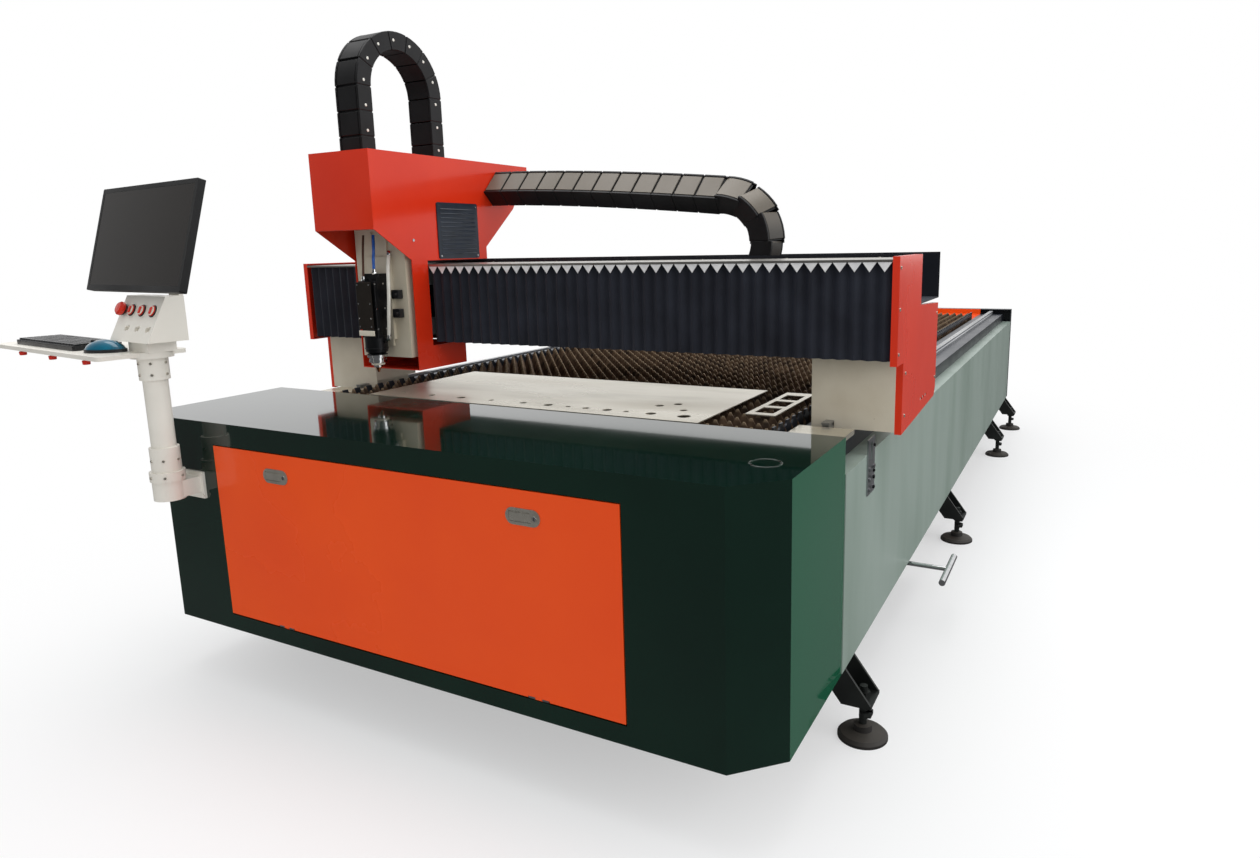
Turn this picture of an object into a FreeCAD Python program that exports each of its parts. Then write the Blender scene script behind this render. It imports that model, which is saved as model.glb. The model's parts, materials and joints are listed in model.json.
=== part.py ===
import FreeCAD, Part
import math
import os

# Fiber laser cutting machine, open table, millimetres, +Z up.
# While it is modelled, X is measured from the machine's centreline, Y runs back from the
# face of the front hood and Z is height above the floor. The last step moves everything so
# that the origin is the middle of the bounding box in X and Y, on the floor.

V = FreeCAD.Vector
X_DIR = V(1, 0, 0)
Y_DIR = V(0, 1, 0)
Z_DIR = V(0, 0, 1)

# ---- driving dimensions -------------------------------------------------------------
bed_length = 4950.0
panel_half_width = 1053.0
sheet_gauge = 3.0
touch_gap = 0.3
running_gap = 0.05

hood_half_width = 1050.0
hood_depth = 522.0
hood_chamfer = 107.0
hood_bottom = 212.0
hood_top = 861.0
hood_opening_half = 697.0
hood_opening_bottom = 261.0
hood_opening_top = 794.0

panel_gap = 3.0
panel_edge_depth = 18.0
panel_gauge = 2.0
hinge_y = 4.0
hinge_z = 266.0
hinge_barrel_radius = 4.5
hinge_pin_radius = 2.0
hinge_x = 450.0
hinge_reach = 30.0
latch_x = 430.0
latch_z = 726.0
latch_length = 96.0
latch_height = 38.0

beam_inner = 850.0
beam_outer = 1000.0
beam_bottom = 560.0
beam_top = 814.0
beam_wall = 10.0
frame_tube = 100.0
frame_bottom = 220.0
frame_inner = 930.0
frame_wall = 6.0
post_depth = 80.0
side_panel_bottom = 217.0
side_panel_top = 764.0
rear_depth = 60.0
rear_top = 849.0

foot_rows = [606.0, 2313.0, 4000.0, 4830.0]
foot_x = 1091.0
pad_radius = 68.5
pad_height = 16.0
stud_radius = 11.0
foot_plate_top = 120.0
foot_plate_reach = (50.0, 32.0)
stud_length = 136.0
lock_nut_radius = 19.0
lock_nut_height = 16.0
foot_plate_gauge = 10.0
gusset_gauge = 8.0
gusset_spread = 50.0

slat_pitch = 56.0
slat_front = 588.0
slat_back = 4560.0
slat_gauge = 3.0
slat_bottom = 750.0
slat_top = 849.0
slat_half_length = 836.0
shelf_top = 738.0
shelf_width = 52.0
tooth_pitch = 44.0
tooth_depth = 34.0
comb_gauge = 6.0
comb_x = 826.0
comb_slot_gap = 0.6
scallop_radius = 17.0

guide_x = 925.0
guide_half_width = 12.0
guide_height = 24.0
guide_start = 768.0
guide_end = 4880.0
end_cover_y = (523.0, 760.0)
end_cover_top = 828.0
end_cover_half_extra = 10.0

drawer_x = (100.0, 1000.0)
drawer_y = (1140.0, 1740.0)
drawer_bottom = 115.0
drawer_top = 203.3
drawer_flange = 22.0
drawer_gauge = 2.0
pull_y = 1440.0
pull_z = 194.0
pull_end = 1182.0
pull_bar_length = 270.0
pull_bar_radius = 11.0
pull_rod_radius = 8.0

arm_x = -800.0
arm_y = -80.0
arm_turn = -7.4
arm_boss_radius = 43.0
arm_boss_z = (640.0, 697.0)
arm_ring_top = 725.0
arm_sleeve_top = 797.0
arm_sleeve_radius = 39.5
arm_tube_radius = 32.5
arm_tube_wall = 4.0
arm_spigot_radius = 20.0
collar_z = (996.0, 1062.0)
tray_x = (-740.0, 30.0)
tray_y = (-152.0, 85.0)
tray_z = (1066.0, 1078.0)
console_x = (-117.0, 115.0)
console_y = (-57.0, 53.0)
console_z = (1109.0, 1234.0)
console_slope = 61.0
button_radius = 15.0
button_ring_radius = 17.5
button_places = [-40.0, 22.0, 86.0]
stop_place = -90.0
monitor_centre = (0.0, 6.0, 1397.0)
monitor_width = 566.0
monitor_height = 306.0
monitor_gauge = 20.0
monitor_lean = 16.0
tilt_reach = 42.0
tilt_pin_radius = 4.0

gantry_front = 733.0
gantry_beam_y = (790.0, 1030.0)
gantry_beam_z = (1030.0, 1290.0)
gantry_beam_half = 1124.0
gantry_beam_wall = 8.0
foot_block_x = (870.0, 1108.0)
foot_block_y = (812.0, 1020.0)
skirt_low = 816.0
end_cover_half = 1127.0
end_cover_rim = 19.0
top_cover_gauge = 6.0
x_guide_heights = [1078.0, 1255.0]
x_guide_depth = 26.0
x_guide_half = 10.0
bellows_y = (734.0, 757.0)
bellows_bottom = 1024.0
tray_back_y = (1053.0, 1368.0)
tray_back_z = (1158.0, 1306.0)

carriage_centre = -627.5
carriage_half = 135.5
carriage_bottom = 932.0
carriage_top = 1667.0
head_cover_y = (496.0, 655.0)
head_cover_low = 1416.0
head_cover_back_low = 1313.0
carriage_plate_y = (706.0, 731.0)
column_back = 1332.0
column_back_low = 1650.0
column_heel = (1231.0, 1500.0)
column_waist_y = 1054.0
column_waist_z = (1310.0, 1354.0)
column_notch_y = 731.0
column_notch_low = 1012.0
column_foot_back = 902.0
vent_y = (800.0, 996.0)
vent_z = (1323.0, 1502.0)
vent_louvres = 11
vent_louvre_pitch = 15.5
housing_half = 114.0
housing_y = (644.0, 706.0)
housing_z = (988.0, 1640.0)

chain_y = (1062.0, 1172.0)
chain_height = 72.0
chain_bend_x = 466.0
chain_bend_radius = 153.0
chain_bend_z = 1352.0
chain_start_z = 1571.0
z_chain_x = (-680.0, -576.0)
z_chain_front = 556.0
z_chain_back = 948.0
z_chain_gauge = 60.0
z_chain_room = 12.0
z_chain_centre_z = 1880.0
z_chain_bottom = 1560.0

nozzle_x = -622.0
nozzle_y = 592.0
head_back = 631.0
head_half = 37.0
head_front = 566.0
head_z = (1052.0, 1246.0)
nozzle_tip = 930.0

sheet_stock = 3.0


# ---- helpers ------------------------------------------------------------------------
def box(x0, x1, y0, y1, z0, z1):
    """A block between two corners given axis by axis."""
    return Part.makeBox(x1 - x0, y1 - y0, z1 - z0, V(x0, y0, z0))


def rod(radius, start, direction, length):
    """A round bar."""
    return Part.makeCylinder(radius, length, start, direction)


def pipe(outer, inner, start, direction, length):
    """A round tube with a clear bore."""
    extra = direction * 1.0
    bore = Part.makeCylinder(inner, length + 2, start - extra, direction)
    return rod(outer, start, direction, length).cut(bore)


def joined(shapes):
    """One solid made of touching or overlapping shapes."""
    result = shapes[0]
    for extra in shapes[1:]:
        result = result.fuse(extra)
    return result.removeSplitter()


def both_sides(shape):
    """The shape and its mirror image across the centreline."""
    return [shape, shape.mirror(V(0, 0, 0), X_DIR)]


def prism_x(points, x0, x1):
    """An outline of (y, z) points extruded along X."""
    wire = Part.makePolygon([V(x0, y, z) for y, z in points + points[:1]])
    return Part.Face(wire).extrude(V(x1 - x0, 0, 0))


def prism_y(points, y0, y1):
    """An outline of (x, z) points extruded along Y."""
    wire = Part.makePolygon([V(x, y0, z) for x, z in points + points[:1]])
    return Part.Face(wire).extrude(V(0, y1 - y0, 0))


def prism_z(points, z0, z1):
    """An outline of (x, y) points extruded upwards."""
    wire = Part.makePolygon([V(x, y, z0) for x, y in points + points[:1]])
    return Part.Face(wire).extrude(V(0, 0, z1 - z0))


def rounded_box(x0, x1, y0, y1, z0, z1, radius, direction):
    """A block whose edges along one direction are rounded."""
    block = box(x0, x1, y0, y1, z0, z1)
    edges = []
    for edge in block.Edges:
        run = edge.lastVertex().Point - edge.firstVertex().Point
        if abs(run.dot(direction)) > 0.5 * run.Length:
            edges.append(edge)
    return block.makeFillet(radius, edges)


def revolved(profile, centre, axis, radial):
    """A turned piece: (radius, height) points swept round an axis."""
    points = [centre + radial * r + axis * h for r, h in profile]
    face = Part.Face(Part.makePolygon(points + points[:1]))
    return face.revolve(centre, axis, 360)


def compound(shapes):
    """Separate solids kept together as one node."""
    return Part.makeCompound(shapes)


# ---- bed ------------------------------------------------------------------------------
def base_frame():
    """Welded box-section frame with the drawer's two guide angles under it."""
    top = frame_bottom + frame_tube
    side = (frame_inner, panel_half_width - sheet_gauge)
    back = bed_length - rear_depth
    members = []
    hollows = []

    def member(x0, x1, y0, y1, z0, z1, grow):
        members.append(box(x0, x1, y0, y1, z0, z1))
        w = frame_wall
        gx, gy, gz = grow
        hollows.append(box(x0 + w - gx, x1 - w + gx, y0 + w - gy, y1 - w + gy, z0 + w - gz, z1 - w + gz))

    for sign in (-1, 1):
        low, high = sorted((sign * side[0], sign * side[1]))
        member(low, high, hood_depth, back, frame_bottom, top, (0, 0, 0))
        for row in foot_rows:
            start = row - post_depth / 2
            post = sorted((sign * side[0], sign * beam_outer))
            member(post[0], post[1], start, start + post_depth, top - frame_wall, beam_bottom, (0, 0, 0))
    for row in foot_rows:
        start = row - post_depth / 2
        reach = side[0] + frame_wall
        member(-reach, reach, start, start + post_depth, frame_bottom, top, (0, 0, 0))
    frame = joined(members)
    for hollow in hollows:
        frame = frame.cut(hollow)
    return joined([frame] + drawer_guides(frame_inner + frame_tube / 2))


def drawer_guides(reach):
    """Two angles along X; the drawer's flanges slide on their inward legs."""
    guides = []
    ledge_top = drawer_top - drawer_gauge - touch_gap
    for side, sign in ((drawer_y[0], -1), (drawer_y[1], 1)):
        web = side + sign * (drawer_flange + 2.0)
        outer = web + sign * 5.0
        tip = side + sign * 3.0
        y0, y1 = sorted((web, outer))
        t0, t1 = sorted((tip, outer))
        guides.append(box(-reach, reach, y0, y1, ledge_top - 4, frame_bottom))
        guides.append(box(-reach, reach, t0, t1, ledge_top - 4, ledge_top))
    return guides


def rail_beams():
    """Two hollow side beams with a welded ledge for the slat combs."""
    back = bed_length - rear_depth
    beam = box(beam_inner, beam_outer, hood_depth, back, beam_bottom, beam_top)
    w = beam_wall
    hollow = box(beam_inner + w, beam_outer - w, hood_depth + w, back - w, beam_bottom + w, beam_top - w)
    shelf_inner = beam_inner - shelf_width
    shelf = box(shelf_inner, beam_inner, hood_depth, slat_back + 60, shelf_top - 8, shelf_top)
    web = box(beam_inner - 8, beam_inner, hood_depth, slat_back + 60, shelf_top - shelf_width, shelf_top)
    return compound(both_sides(joined([beam.cut(hollow), shelf, web])))


def side_panels():
    """Folded outer sheets with a ledge back to the beam and a lip under the frame."""
    outer = panel_half_width
    back = bed_length - rear_depth
    face = box(outer - sheet_gauge, outer, hood_depth, back, side_panel_bottom, side_panel_top)
    ledge = box(beam_outer, outer, hood_depth, back, side_panel_top - sheet_gauge, side_panel_top)
    lip = box(outer - 30, outer, hood_depth, back, side_panel_bottom, frame_bottom)
    lip_notch = []
    for row in foot_rows:
        lip_notch.append(box(outer - 31, outer - sheet_gauge, row - 70, row + 70, 200, frame_bottom))
    panel = joined([face, ledge, lip])
    for notch in lip_notch:
        panel = panel.cut(notch)
    return compound(both_sides(panel))


def rear_frame():
    """Folded end panel, open towards the bed, with a wider cap over the side panels."""
    front = bed_length - rear_depth
    outer = panel_half_width
    shell = box(-outer, outer, front, bed_length, side_panel_bottom, rear_top)
    inside = box(-outer + 4, outer - 4, front - 1, bed_length - 4, side_panel_bottom + 4, rear_top - 4)
    return shell.cut(inside)


def rear_baffle():
    """Sloping sheet that guides scrap from the rear end into the bed."""
    back = bed_length - rear_depth
    high = rear_top - 34
    low_y = slat_back + 30
    low_z = 650.0
    g = sheet_gauge
    outline = [(back, rear_top), (back - g, rear_top), (back - g, high)]
    outline += [(low_y, low_z), (low_y + g, low_z - g)]
    outline += [(back, high - g)]
    return prism_x(outline, -beam_inner, beam_inner)


def hood_outline(inset):
    """Plan of the hood: a box with both front corners cut at 45 degrees."""
    w = hood_half_width - inset
    front = inset
    back = hood_depth - inset
    corner = hood_chamfer - inset + 1.4142 * inset
    flat = hood_half_width - hood_chamfer - inset * 0.4142
    right = [(flat, front), (w, corner), (w, back)]
    left = [(-x, y) for x, y in reversed(right)]
    return left + right


def front_hood():
    """Folded sheet cabinet across the front of the bed, with one large opening."""
    g = sheet_gauge
    shell = prism_z(hood_outline(0), hood_bottom, hood_top)
    shell = shell.cut(prism_z(hood_outline(g), hood_bottom + g, hood_top - g))
    opening = box(-hood_opening_half, hood_opening_half, -1, g + 1, hood_opening_bottom, hood_opening_top)
    return shell.cut(opening)


def panel_hinges():
    """Two fixed hinge halves with their pins, inside the lower edge of the opening."""
    leaves = []
    for centre in (-hinge_x, hinge_x):
        pin = rod(hinge_pin_radius, V(centre - hinge_reach, hinge_y, hinge_z), X_DIR, 2 * hinge_reach)
        pieces = [pin]
        for side in (-1, 1):
            near = centre + side * 10.3
            far = centre + side * hinge_reach
            x0, x1 = sorted((near, far))
            pieces.append(rod(hinge_barrel_radius, V(x0, hinge_y, hinge_z), X_DIR, x1 - x0))
            pieces.append(box(x0, x1, sheet_gauge, hinge_y + 1.5, 230, hinge_z))
        pieces.append(box(centre - hinge_reach, centre + hinge_reach, sheet_gauge, hinge_y + 1.5, 230, 255))
        leaves.append(joined(pieces))
    return compound(leaves)


def access_panel():
    """Orange drop-down panel: a face with folded edges and two hinge knuckles."""
    half = hood_opening_half - panel_gap
    low = hood_opening_bottom + panel_gap + 1.0
    high = hood_opening_top - panel_gap
    g = panel_gauge
    body = box(-half, half, 0, panel_edge_depth, low, high)
    body = body.cut(box(-half + g, half - g, g, panel_edge_depth + 1, low + g, high - g))
    for centre in (-hinge_x, hinge_x):
        clear = hinge_reach + 2
        start = V(centre - clear, hinge_y, hinge_z)
        body = body.cut(rod(hinge_barrel_radius + 0.5, start, X_DIR, 2 * clear))
        body = body.cut(box(centre - clear, centre + clear, g, panel_edge_depth + 1, low - 1, hinge_z + 2))
        leaf = box(centre - 10, centre + 10, g, g + 2.5, hinge_z, hinge_z + 30)
        body = joined([body, leaf, rod(hinge_barrel_radius, V(centre - 10, hinge_y, hinge_z), X_DIR, 20)])
        pin_hole = rod(hinge_pin_radius + running_gap, V(centre - 11, hinge_y, hinge_z), X_DIR, 22)
        body = body.cut(pin_hole)
    for centre in (-latch_x, latch_x):
        body = body.cut(latch_body(centre, latch_length, latch_height, -1, g + 1))
    return body


def latch_body(centre, length, height, y0, y1):
    """A flat block with full-round ends, standing on a face of constant Y."""
    r = height / 2 - 0.01
    half = length / 2
    low = latch_z - height / 2
    return rounded_box(centre - half, centre + half, y0, y1, low, low + height, r, Y_DIR)


def latch_bezels():
    """Two flush latch frames let into the panel; each has a pocket and a lock cylinder."""
    frames = []
    for centre in (-latch_x, latch_x):
        frame = latch_body(centre, latch_length, latch_height, 0, 12)
        rim = latch_body(centre, latch_length + 4, latch_height + 4, -1.5, 0)
        pocket = box(centre - 40, centre + 22, -2, 9, latch_z - 13, latch_z + 13)
        lock = rod(8, V(centre + 34, -2.5, latch_z), Y_DIR, 4)
        body = joined([frame, rim]).cut(pocket)
        pin = rod(1.5, V(centre - 41, 3, latch_z + 10), X_DIR, 64)
        frames.append(joined([body, lock, pin]))
    return compound(frames)


def latch_paddle(centre):
    """Pull paddle in one latch, hung on a pin at its upper edge."""
    gap = touch_gap
    plate = box(centre - 40 + gap, centre + 22 - gap, -1, 2.5, latch_z - 12, latch_z + 9)
    barrel = rod(2.6, V(centre - 40 + gap, 3, latch_z + 10), X_DIR, 62 - 2 * gap)
    bore = rod(1.5 + running_gap, V(centre - 41, 3, latch_z + 10), X_DIR, 64)
    return joined([plate, barrel]).cut(bore)


def slat_outline():
    """One sawtooth slat seen from the front: (x, z) points."""
    count = int(2 * slat_half_length / tooth_pitch)
    margin = slat_half_length - count * tooth_pitch / 2
    points = [(-slat_half_length, slat_bottom), (slat_half_length, slat_bottom)]
    points.append((slat_half_length, slat_top - tooth_depth))
    start = slat_half_length - margin
    for index in range(count):
        right = start - index * tooth_pitch
        tip = right - tooth_pitch / 2
        points.append((right, slat_top - tooth_depth))
        points.append((tip + 3, slat_top))
        points.append((tip - 3, slat_top))
    points.append((start - count * tooth_pitch, slat_top - tooth_depth))
    points.append((-slat_half_length, slat_top - tooth_depth))
    return [p for i, p in enumerate(points) if i == 0 or p != points[i - 1]]


def slat_rows():
    """Y of each slat's centre."""
    count = int((slat_back - slat_front) / slat_pitch) + 1
    return [slat_front + i * slat_pitch for i in range(count)]


def slats():
    """The loose sawtooth slats, side by side along the bed."""
    outline = slat_outline()
    half = slat_gauge / 2
    first = prism_y(outline, -half, half)
    rows = []
    for row in slat_rows():
        copy = first.copy()
        copy.translate(V(0, row, 0))
        rows.append(copy)
    return compound(rows)


def slat_combs():
    """Plates with a slot for every slat and a half-round scallop above each slot."""
    start = hood_depth + 2
    end = slat_back + 40
    x0 = comb_x - comb_gauge / 2
    x1 = comb_x + comb_gauge / 2
    half = slat_gauge / 2 + comb_slot_gap
    points = [(start, shelf_top), (end, shelf_top), (end, slat_top)]
    for row in reversed(slat_rows()):
        points += [(row + half, slat_top), (row + half, slat_bottom)]
        points += [(row - half, slat_bottom), (row - half, slat_top)]
    points.append((start, slat_top))
    scallops = [rod(scallop_radius, V(x0 - 1, row, slat_top), X_DIR, comb_gauge + 2) for row in slat_rows()]
    plate = prism_x(points, x0, x1).cut(compound(scallops))
    return compound(both_sides(plate))


def cut_sheets():
    """A sheet with cut round holes and a strip with three square holes, on the slats."""
    low = slat_top
    high = slat_top + sheet_stock
    sheet = box(-660, 615, 573, 1137, low, high)
    for index, x in enumerate((-560, -430, -300, -170, -40, 59, 134, 201, 278, 345)):
        sheet = sheet.cut(rod(9 + 3 * (index % 3), V(x, 640, low - 1), Z_DIR, sheet_stock + 2))
    for x, y, r in ((397, 760, 14), (441, 803, 14), (430, 640, 16), (540, 640, 20), (500, 720, 12)):
        sheet = sheet.cut(rod(r, V(x, y, low - 1), Z_DIR, sheet_stock + 2))
    strip = box(689, 783, 745, 1124, low, high)
    for y in (775, 885, 995):
        strip = strip.cut(box(706, 766, y, y + 82, low - 1, high + 1))
    return compound([sheet, strip])


def y_guides():
    """Profiled guide rails for the gantry, on top of the side beams."""
    w = guide_half_width
    z = beam_top
    h = guide_height
    right = [(w, 0), (w, 0.4 * h), (w - 3, 0.55 * h), (w - 3, 0.7 * h), (w, 0.8 * h), (w, h)]
    left = [(-x, y) for x, y in reversed(right)]
    points = [(guide_x + x, z + y) for x, y in right + left]
    return compound(both_sides(prism_y(points, guide_start, guide_end)))


def guide_end_covers():
    """Plain metal covers on the front ends of the side beams."""
    y0, y1 = end_cover_y
    cover = box(beam_inner, beam_outer + end_cover_half_extra, y0, y1, beam_top, end_cover_top)
    return compound(both_sides(cover))


def foot_brackets():
    """Gusset brackets, each with a flange under the frame, two gussets and a foot plate."""
    brackets = []
    top = frame_bottom
    flange_x = (foot_x - 130, panel_half_width - sheet_gauge)
    plate_x = (foot_x - foot_plate_reach[0], foot_x + foot_plate_reach[1])
    low = foot_plate_top - foot_plate_gauge
    for row in foot_rows:
        flange = box(flange_x[0], flange_x[1], row - gusset_spread, row + gusset_spread, top - 8, top)
        plate = box(plate_x[0], plate_x[1], row - gusset_spread, row + gusset_spread, low, foot_plate_top)
        outline = [(flange_x[0], top - 4), (flange_x[1], top - 4), (plate_x[1], foot_plate_top - 2)]
        outline += [(plate_x[1], low + 2), (plate_x[0], low + 2)]
        pieces = [flange, plate]
        for side in (-gusset_spread, gusset_spread - gusset_gauge):
            pieces.append(prism_y(outline, row + side, row + side + gusset_gauge))
        bracket = joined(pieces)
        bracket = bracket.cut(rod(stud_radius + 0.5, V(foot_x, row, low - 1), Z_DIR, foot_plate_gauge + 2))
        brackets += both_sides(bracket)
    return compound(brackets)


def foot_studs():
    """Levelling studs, each with its lock nuts above and below the foot plate."""
    studs = []
    low = foot_plate_top - foot_plate_gauge
    for row in foot_rows:
        shank = rod(stud_radius, V(foot_x, row, pad_height), Z_DIR, stud_length)
        pieces = [shank]
        for height in (low - lock_nut_height, foot_plate_top):
            hexagon = []
            for step in range(6):
                angle = math.radians(60 * step)
                across = lock_nut_radius * math.cos(angle)
                hexagon.append((foot_x + across, row + lock_nut_radius * math.sin(angle)))
            pieces.append(prism_z(hexagon, height, height + lock_nut_height))
        studs += both_sides(joined(pieces))
    return compound(studs)


def foot_pads():
    """Round levelling pads with a raised centre."""
    pads = []
    r = pad_radius
    profile = [(0, 0), (r, 0), (r, 8), (r - 8, pad_height), (26, 22), (24, 38)]
    profile += [(stud_radius, 40), (stud_radius, 16), (0, 16)]
    for row in foot_rows:
        pads += both_sides(revolved(profile, V(foot_x, row, 0), Z_DIR, X_DIR))
    return compound(pads)


def limit_bracket():
    """Slotted switch bracket bolted to the right-hand side panel."""
    x = panel_half_width
    plate = box(x, x + 4, 735, 812, 646, 806)
    slot = rounded_box(x - 1, x + 5, 765, 781, 742, 796, 7.9, X_DIR)
    plate = plate.cut(slot)
    bolts = [plate]
    for y in (752, 795):
        for z in (660, 690, 720):
            bolts.append(rod(6, V(x + 3, y, z), X_DIR, 6))
    return joined(bolts)


# ---- slag drawer ------------------------------------------------------------------------
def slag_drawer():
    """Shallow open tray with side flanges that ride on the guide angles."""
    g = drawer_gauge
    x0, x1 = drawer_x
    y0, y1 = drawer_y
    tray = box(x0, x1, y0, y1, drawer_bottom, drawer_top)
    tray = tray.cut(box(x0 + g, x1 - g, y0 + g, y1 - g, drawer_bottom + g, drawer_top + 1))
    flange = drawer_flange - touch_gap
    left = box(x0, x1, y0 - flange, y0 + g, drawer_top - g, drawer_top)
    right = box(x0, x1, y1 - g, y1 + flange, drawer_top - g, drawer_top)
    return joined([tray, left, right])


def drawer_handle():
    """Pull rod welded to the drawer's end with a cross bar at its tip."""
    length = pull_end - drawer_x[1]
    shaft = rod(pull_rod_radius, V(drawer_x[1], pull_y, pull_z), X_DIR, length)
    bar = rod(pull_bar_radius, V(pull_end, pull_y - pull_bar_length / 2, pull_z), Y_DIR, pull_bar_length)
    return joined([shaft, bar])


# ---- control arm --------------------------------------------------------------------------
def arm_place(shape):
    """Move a shape from the arm's own frame (pole on the Z axis) to where the pole stands."""
    turned = shape.copy()
    turned.rotate(V(0, 0, 0), Z_DIR, arm_turn)
    turned.translate(V(arm_x, arm_y, 0))
    return turned


def arm_bracket():
    """Flange on the hood's face with a box arm and a boss bored for the pole's spigot."""
    low, high = arm_boss_z
    flange = box(arm_x - 38, arm_x + 50, -8, 0, low - 16, high + 8)
    arm = box(arm_x - 32, arm_x + 40, arm_y, -8, low + 4, high - 4)
    boss = rod(arm_boss_radius, V(arm_x, arm_y, low), Z_DIR, high - low)
    bore = rod(arm_spigot_radius + running_gap, V(arm_x, arm_y, low + 8), Z_DIR, high - low)
    bolts = []
    for x in (arm_x - 26, arm_x + 45):
        for z in (low - 8, high):
            if x > arm_x:
                bolts.append(rod(5, V(x, -12, z), Y_DIR, 5))
    return joined([flange, arm, boss] + bolts).cut(bore)


def arm_sleeve():
    """Turning sleeve: spigot in the boss, clamp ring and a socket for the tube."""
    low, ring = arm_boss_z[0] + 8.3, arm_boss_z[1] + touch_gap
    spigot = rod(arm_spigot_radius, V(0, 0, low), Z_DIR, ring - low + 1)
    collar = rod(arm_boss_radius + 4, V(0, 0, ring), Z_DIR, arm_ring_top - ring)
    socket = rod(arm_sleeve_radius, V(0, 0, ring), Z_DIR, arm_sleeve_top - ring)
    bore = rod(arm_tube_radius, V(0, 0, arm_ring_top), Z_DIR, 100)
    return arm_place(joined([spigot, collar, socket]).cut(bore))


def arm_tube():
    """Upright tube from the sleeve to the keyboard tray."""
    inner = arm_tube_radius - arm_tube_wall
    tube = pipe(arm_tube_radius, inner, V(0, 0, arm_ring_top), Z_DIR, tray_z[0] - arm_ring_top)
    return arm_place(tube)


def arm_collar():
    """Flanged collar that clamps the tray to the top of the tube."""
    collar = pipe(arm_sleeve_radius, arm_tube_radius, V(0, 0, collar_z[0]), Z_DIR, tray_z[0] - collar_z[0])
    flange = pipe(arm_sleeve_radius + 16, arm_tube_radius, V(0, 0, tray_z[0] - 6), Z_DIR, 6)
    return arm_place(joined([collar, flange]))


def keyboard_tray():
    """Long folded tray with a turned-down rim and three knobs under its front edge."""
    x0, x1 = tray_x
    y0, y1 = tray_y
    z0, z1 = tray_z
    tray = rounded_box(x0, x1, y0, y1, z0, z1, 14, Z_DIR)
    hollow = rounded_box(x0 + 2, x1 - 2, y0 + 2, y1 - 2, z0 - 1, z1 - 2, 12, Z_DIR)
    rim = tray.cut(hollow)
    seat = rod(arm_sleeve_radius + 16, V(0, 0, z0), Z_DIR, z1 - z0)
    return arm_place(joined([rim, seat]))


def console_face(x, share, lift):
    """A point on the console's sloping face, `share` of the way down, `lift` in front of it."""
    height = console_z[1] - console_z[0]
    length = math.hypot(console_slope, height)
    normal = V(0, -height / length, console_slope / length)
    foot = V(x, console_y[0] + console_slope * (1 - share), console_z[1] - height * share)
    return foot + normal * lift, normal


def console_box():
    """Control box with a sloping face, a neck down to the tray and three finger holes."""
    y0, y1 = console_y
    z0, z1 = console_z
    outline = [(y0, z0), (y1, z0), (y1, z1), (y0 + console_slope, z1)]
    body = prism_x(outline, console_x[0], console_x[1])
    neck = box(-58, 58, -34, 44, tray_z[1], z0)
    body = joined([body, neck])
    cutters = []
    for x in button_places:
        start, normal = console_face(x, 0.33, 1)
        cutters.append(rod(button_radius - 4, start, normal * -1, 19))
        start, normal = console_face(x - 6, 0.72, 1)
        cutters.append(rod(8, start, normal * -1, 9))
        start, normal = console_face(x + 6, 0.70, 1)
        cutters.append(rod(8, start, normal * -1, 9))
    start, normal = console_face(stop_place, 0.33, 1)
    cutters.append(rod(10, start, normal * -1, 25))
    for x in (-58, 46):
        cutters.append(box(x - 18, x + 18, y0 + console_slope + 8, y0 + console_slope + 18, z1 - 8, z1 + 1))
    body = body.cut(compound(cutters))
    rings = []
    for x in button_places:
        start, normal = console_face(x, 0.33, -0.5)
        rings.append(pipe(button_ring_radius, button_radius + touch_gap, start, normal, 5.5))
    return arm_place(joined([body] + rings))


def push_button(x):
    """Push button: a cap inside its ring with a stem in the box."""
    start, normal = console_face(x, 0.33, 3.5)
    cap = rod(button_radius, start, normal, 5)
    stem_start, normal = console_face(x, 0.33, -13)
    stem = rod(button_radius - 4.3, stem_start, normal, 17)
    return arm_place(joined([cap, stem]))


def stop_button():
    """Mushroom emergency button on its stem."""
    start, normal = console_face(stop_place, 0.33, -16)
    stem = rod(9.7, start, normal, 22)
    start, normal = console_face(stop_place, 0.33, 5.4)
    profile = [(0, 0), (14, 0), (20, 5), (20, 12), (15, 17), (0, 18)]
    side = V(1, 0, 0)
    head = revolved(profile, start, normal, side)
    return arm_place(joined([stem, head]))


def keyboard():
    """Plain keyboard base with one raised field of keys."""
    base = rounded_box(-650, -212, -118, 14, tray_z[1], tray_z[1] + 14, 10, Z_DIR)
    keys = []
    for row in range(6):
        y = -110 + row * 19.5
        for column in range(21):
            x = -642 + column * 20.2
            keys.append(box(x, x + 17, y, y + 16.5, tray_z[1] + 13, tray_z[1] + 19))
    return arm_place(joined([base] + keys))


def mouse():
    """Low domed mouse lying beside the keyboard."""
    z = tray_z[1]
    dome = Part.makeSphere(60, V(0, 0, 0))
    matrix = FreeCAD.Matrix()
    matrix.scale(1.0, 0.56, 0.6)
    dome = dome.transformGeometry(matrix).common(box(-70, 70, -70, 70, 0, 60))
    dome.rotate(V(0, 0, 0), Z_DIR, 32)
    dome.translate(V(-100, -78, z))
    return arm_place(dome)


def monitor_frame():
    """Centre of the screen panel and the lean of its face."""
    x, y, z = monitor_centre
    return V(x, y, z), -monitor_lean


def monitor_place(shape):
    """Lean a shape built upright round the origin and put it at the screen's centre."""
    centre, lean = monitor_frame()
    turned = shape.copy()
    turned.rotate(V(0, 0, 0), X_DIR, lean)
    turned.translate(centre)
    return arm_place(turned)


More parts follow.
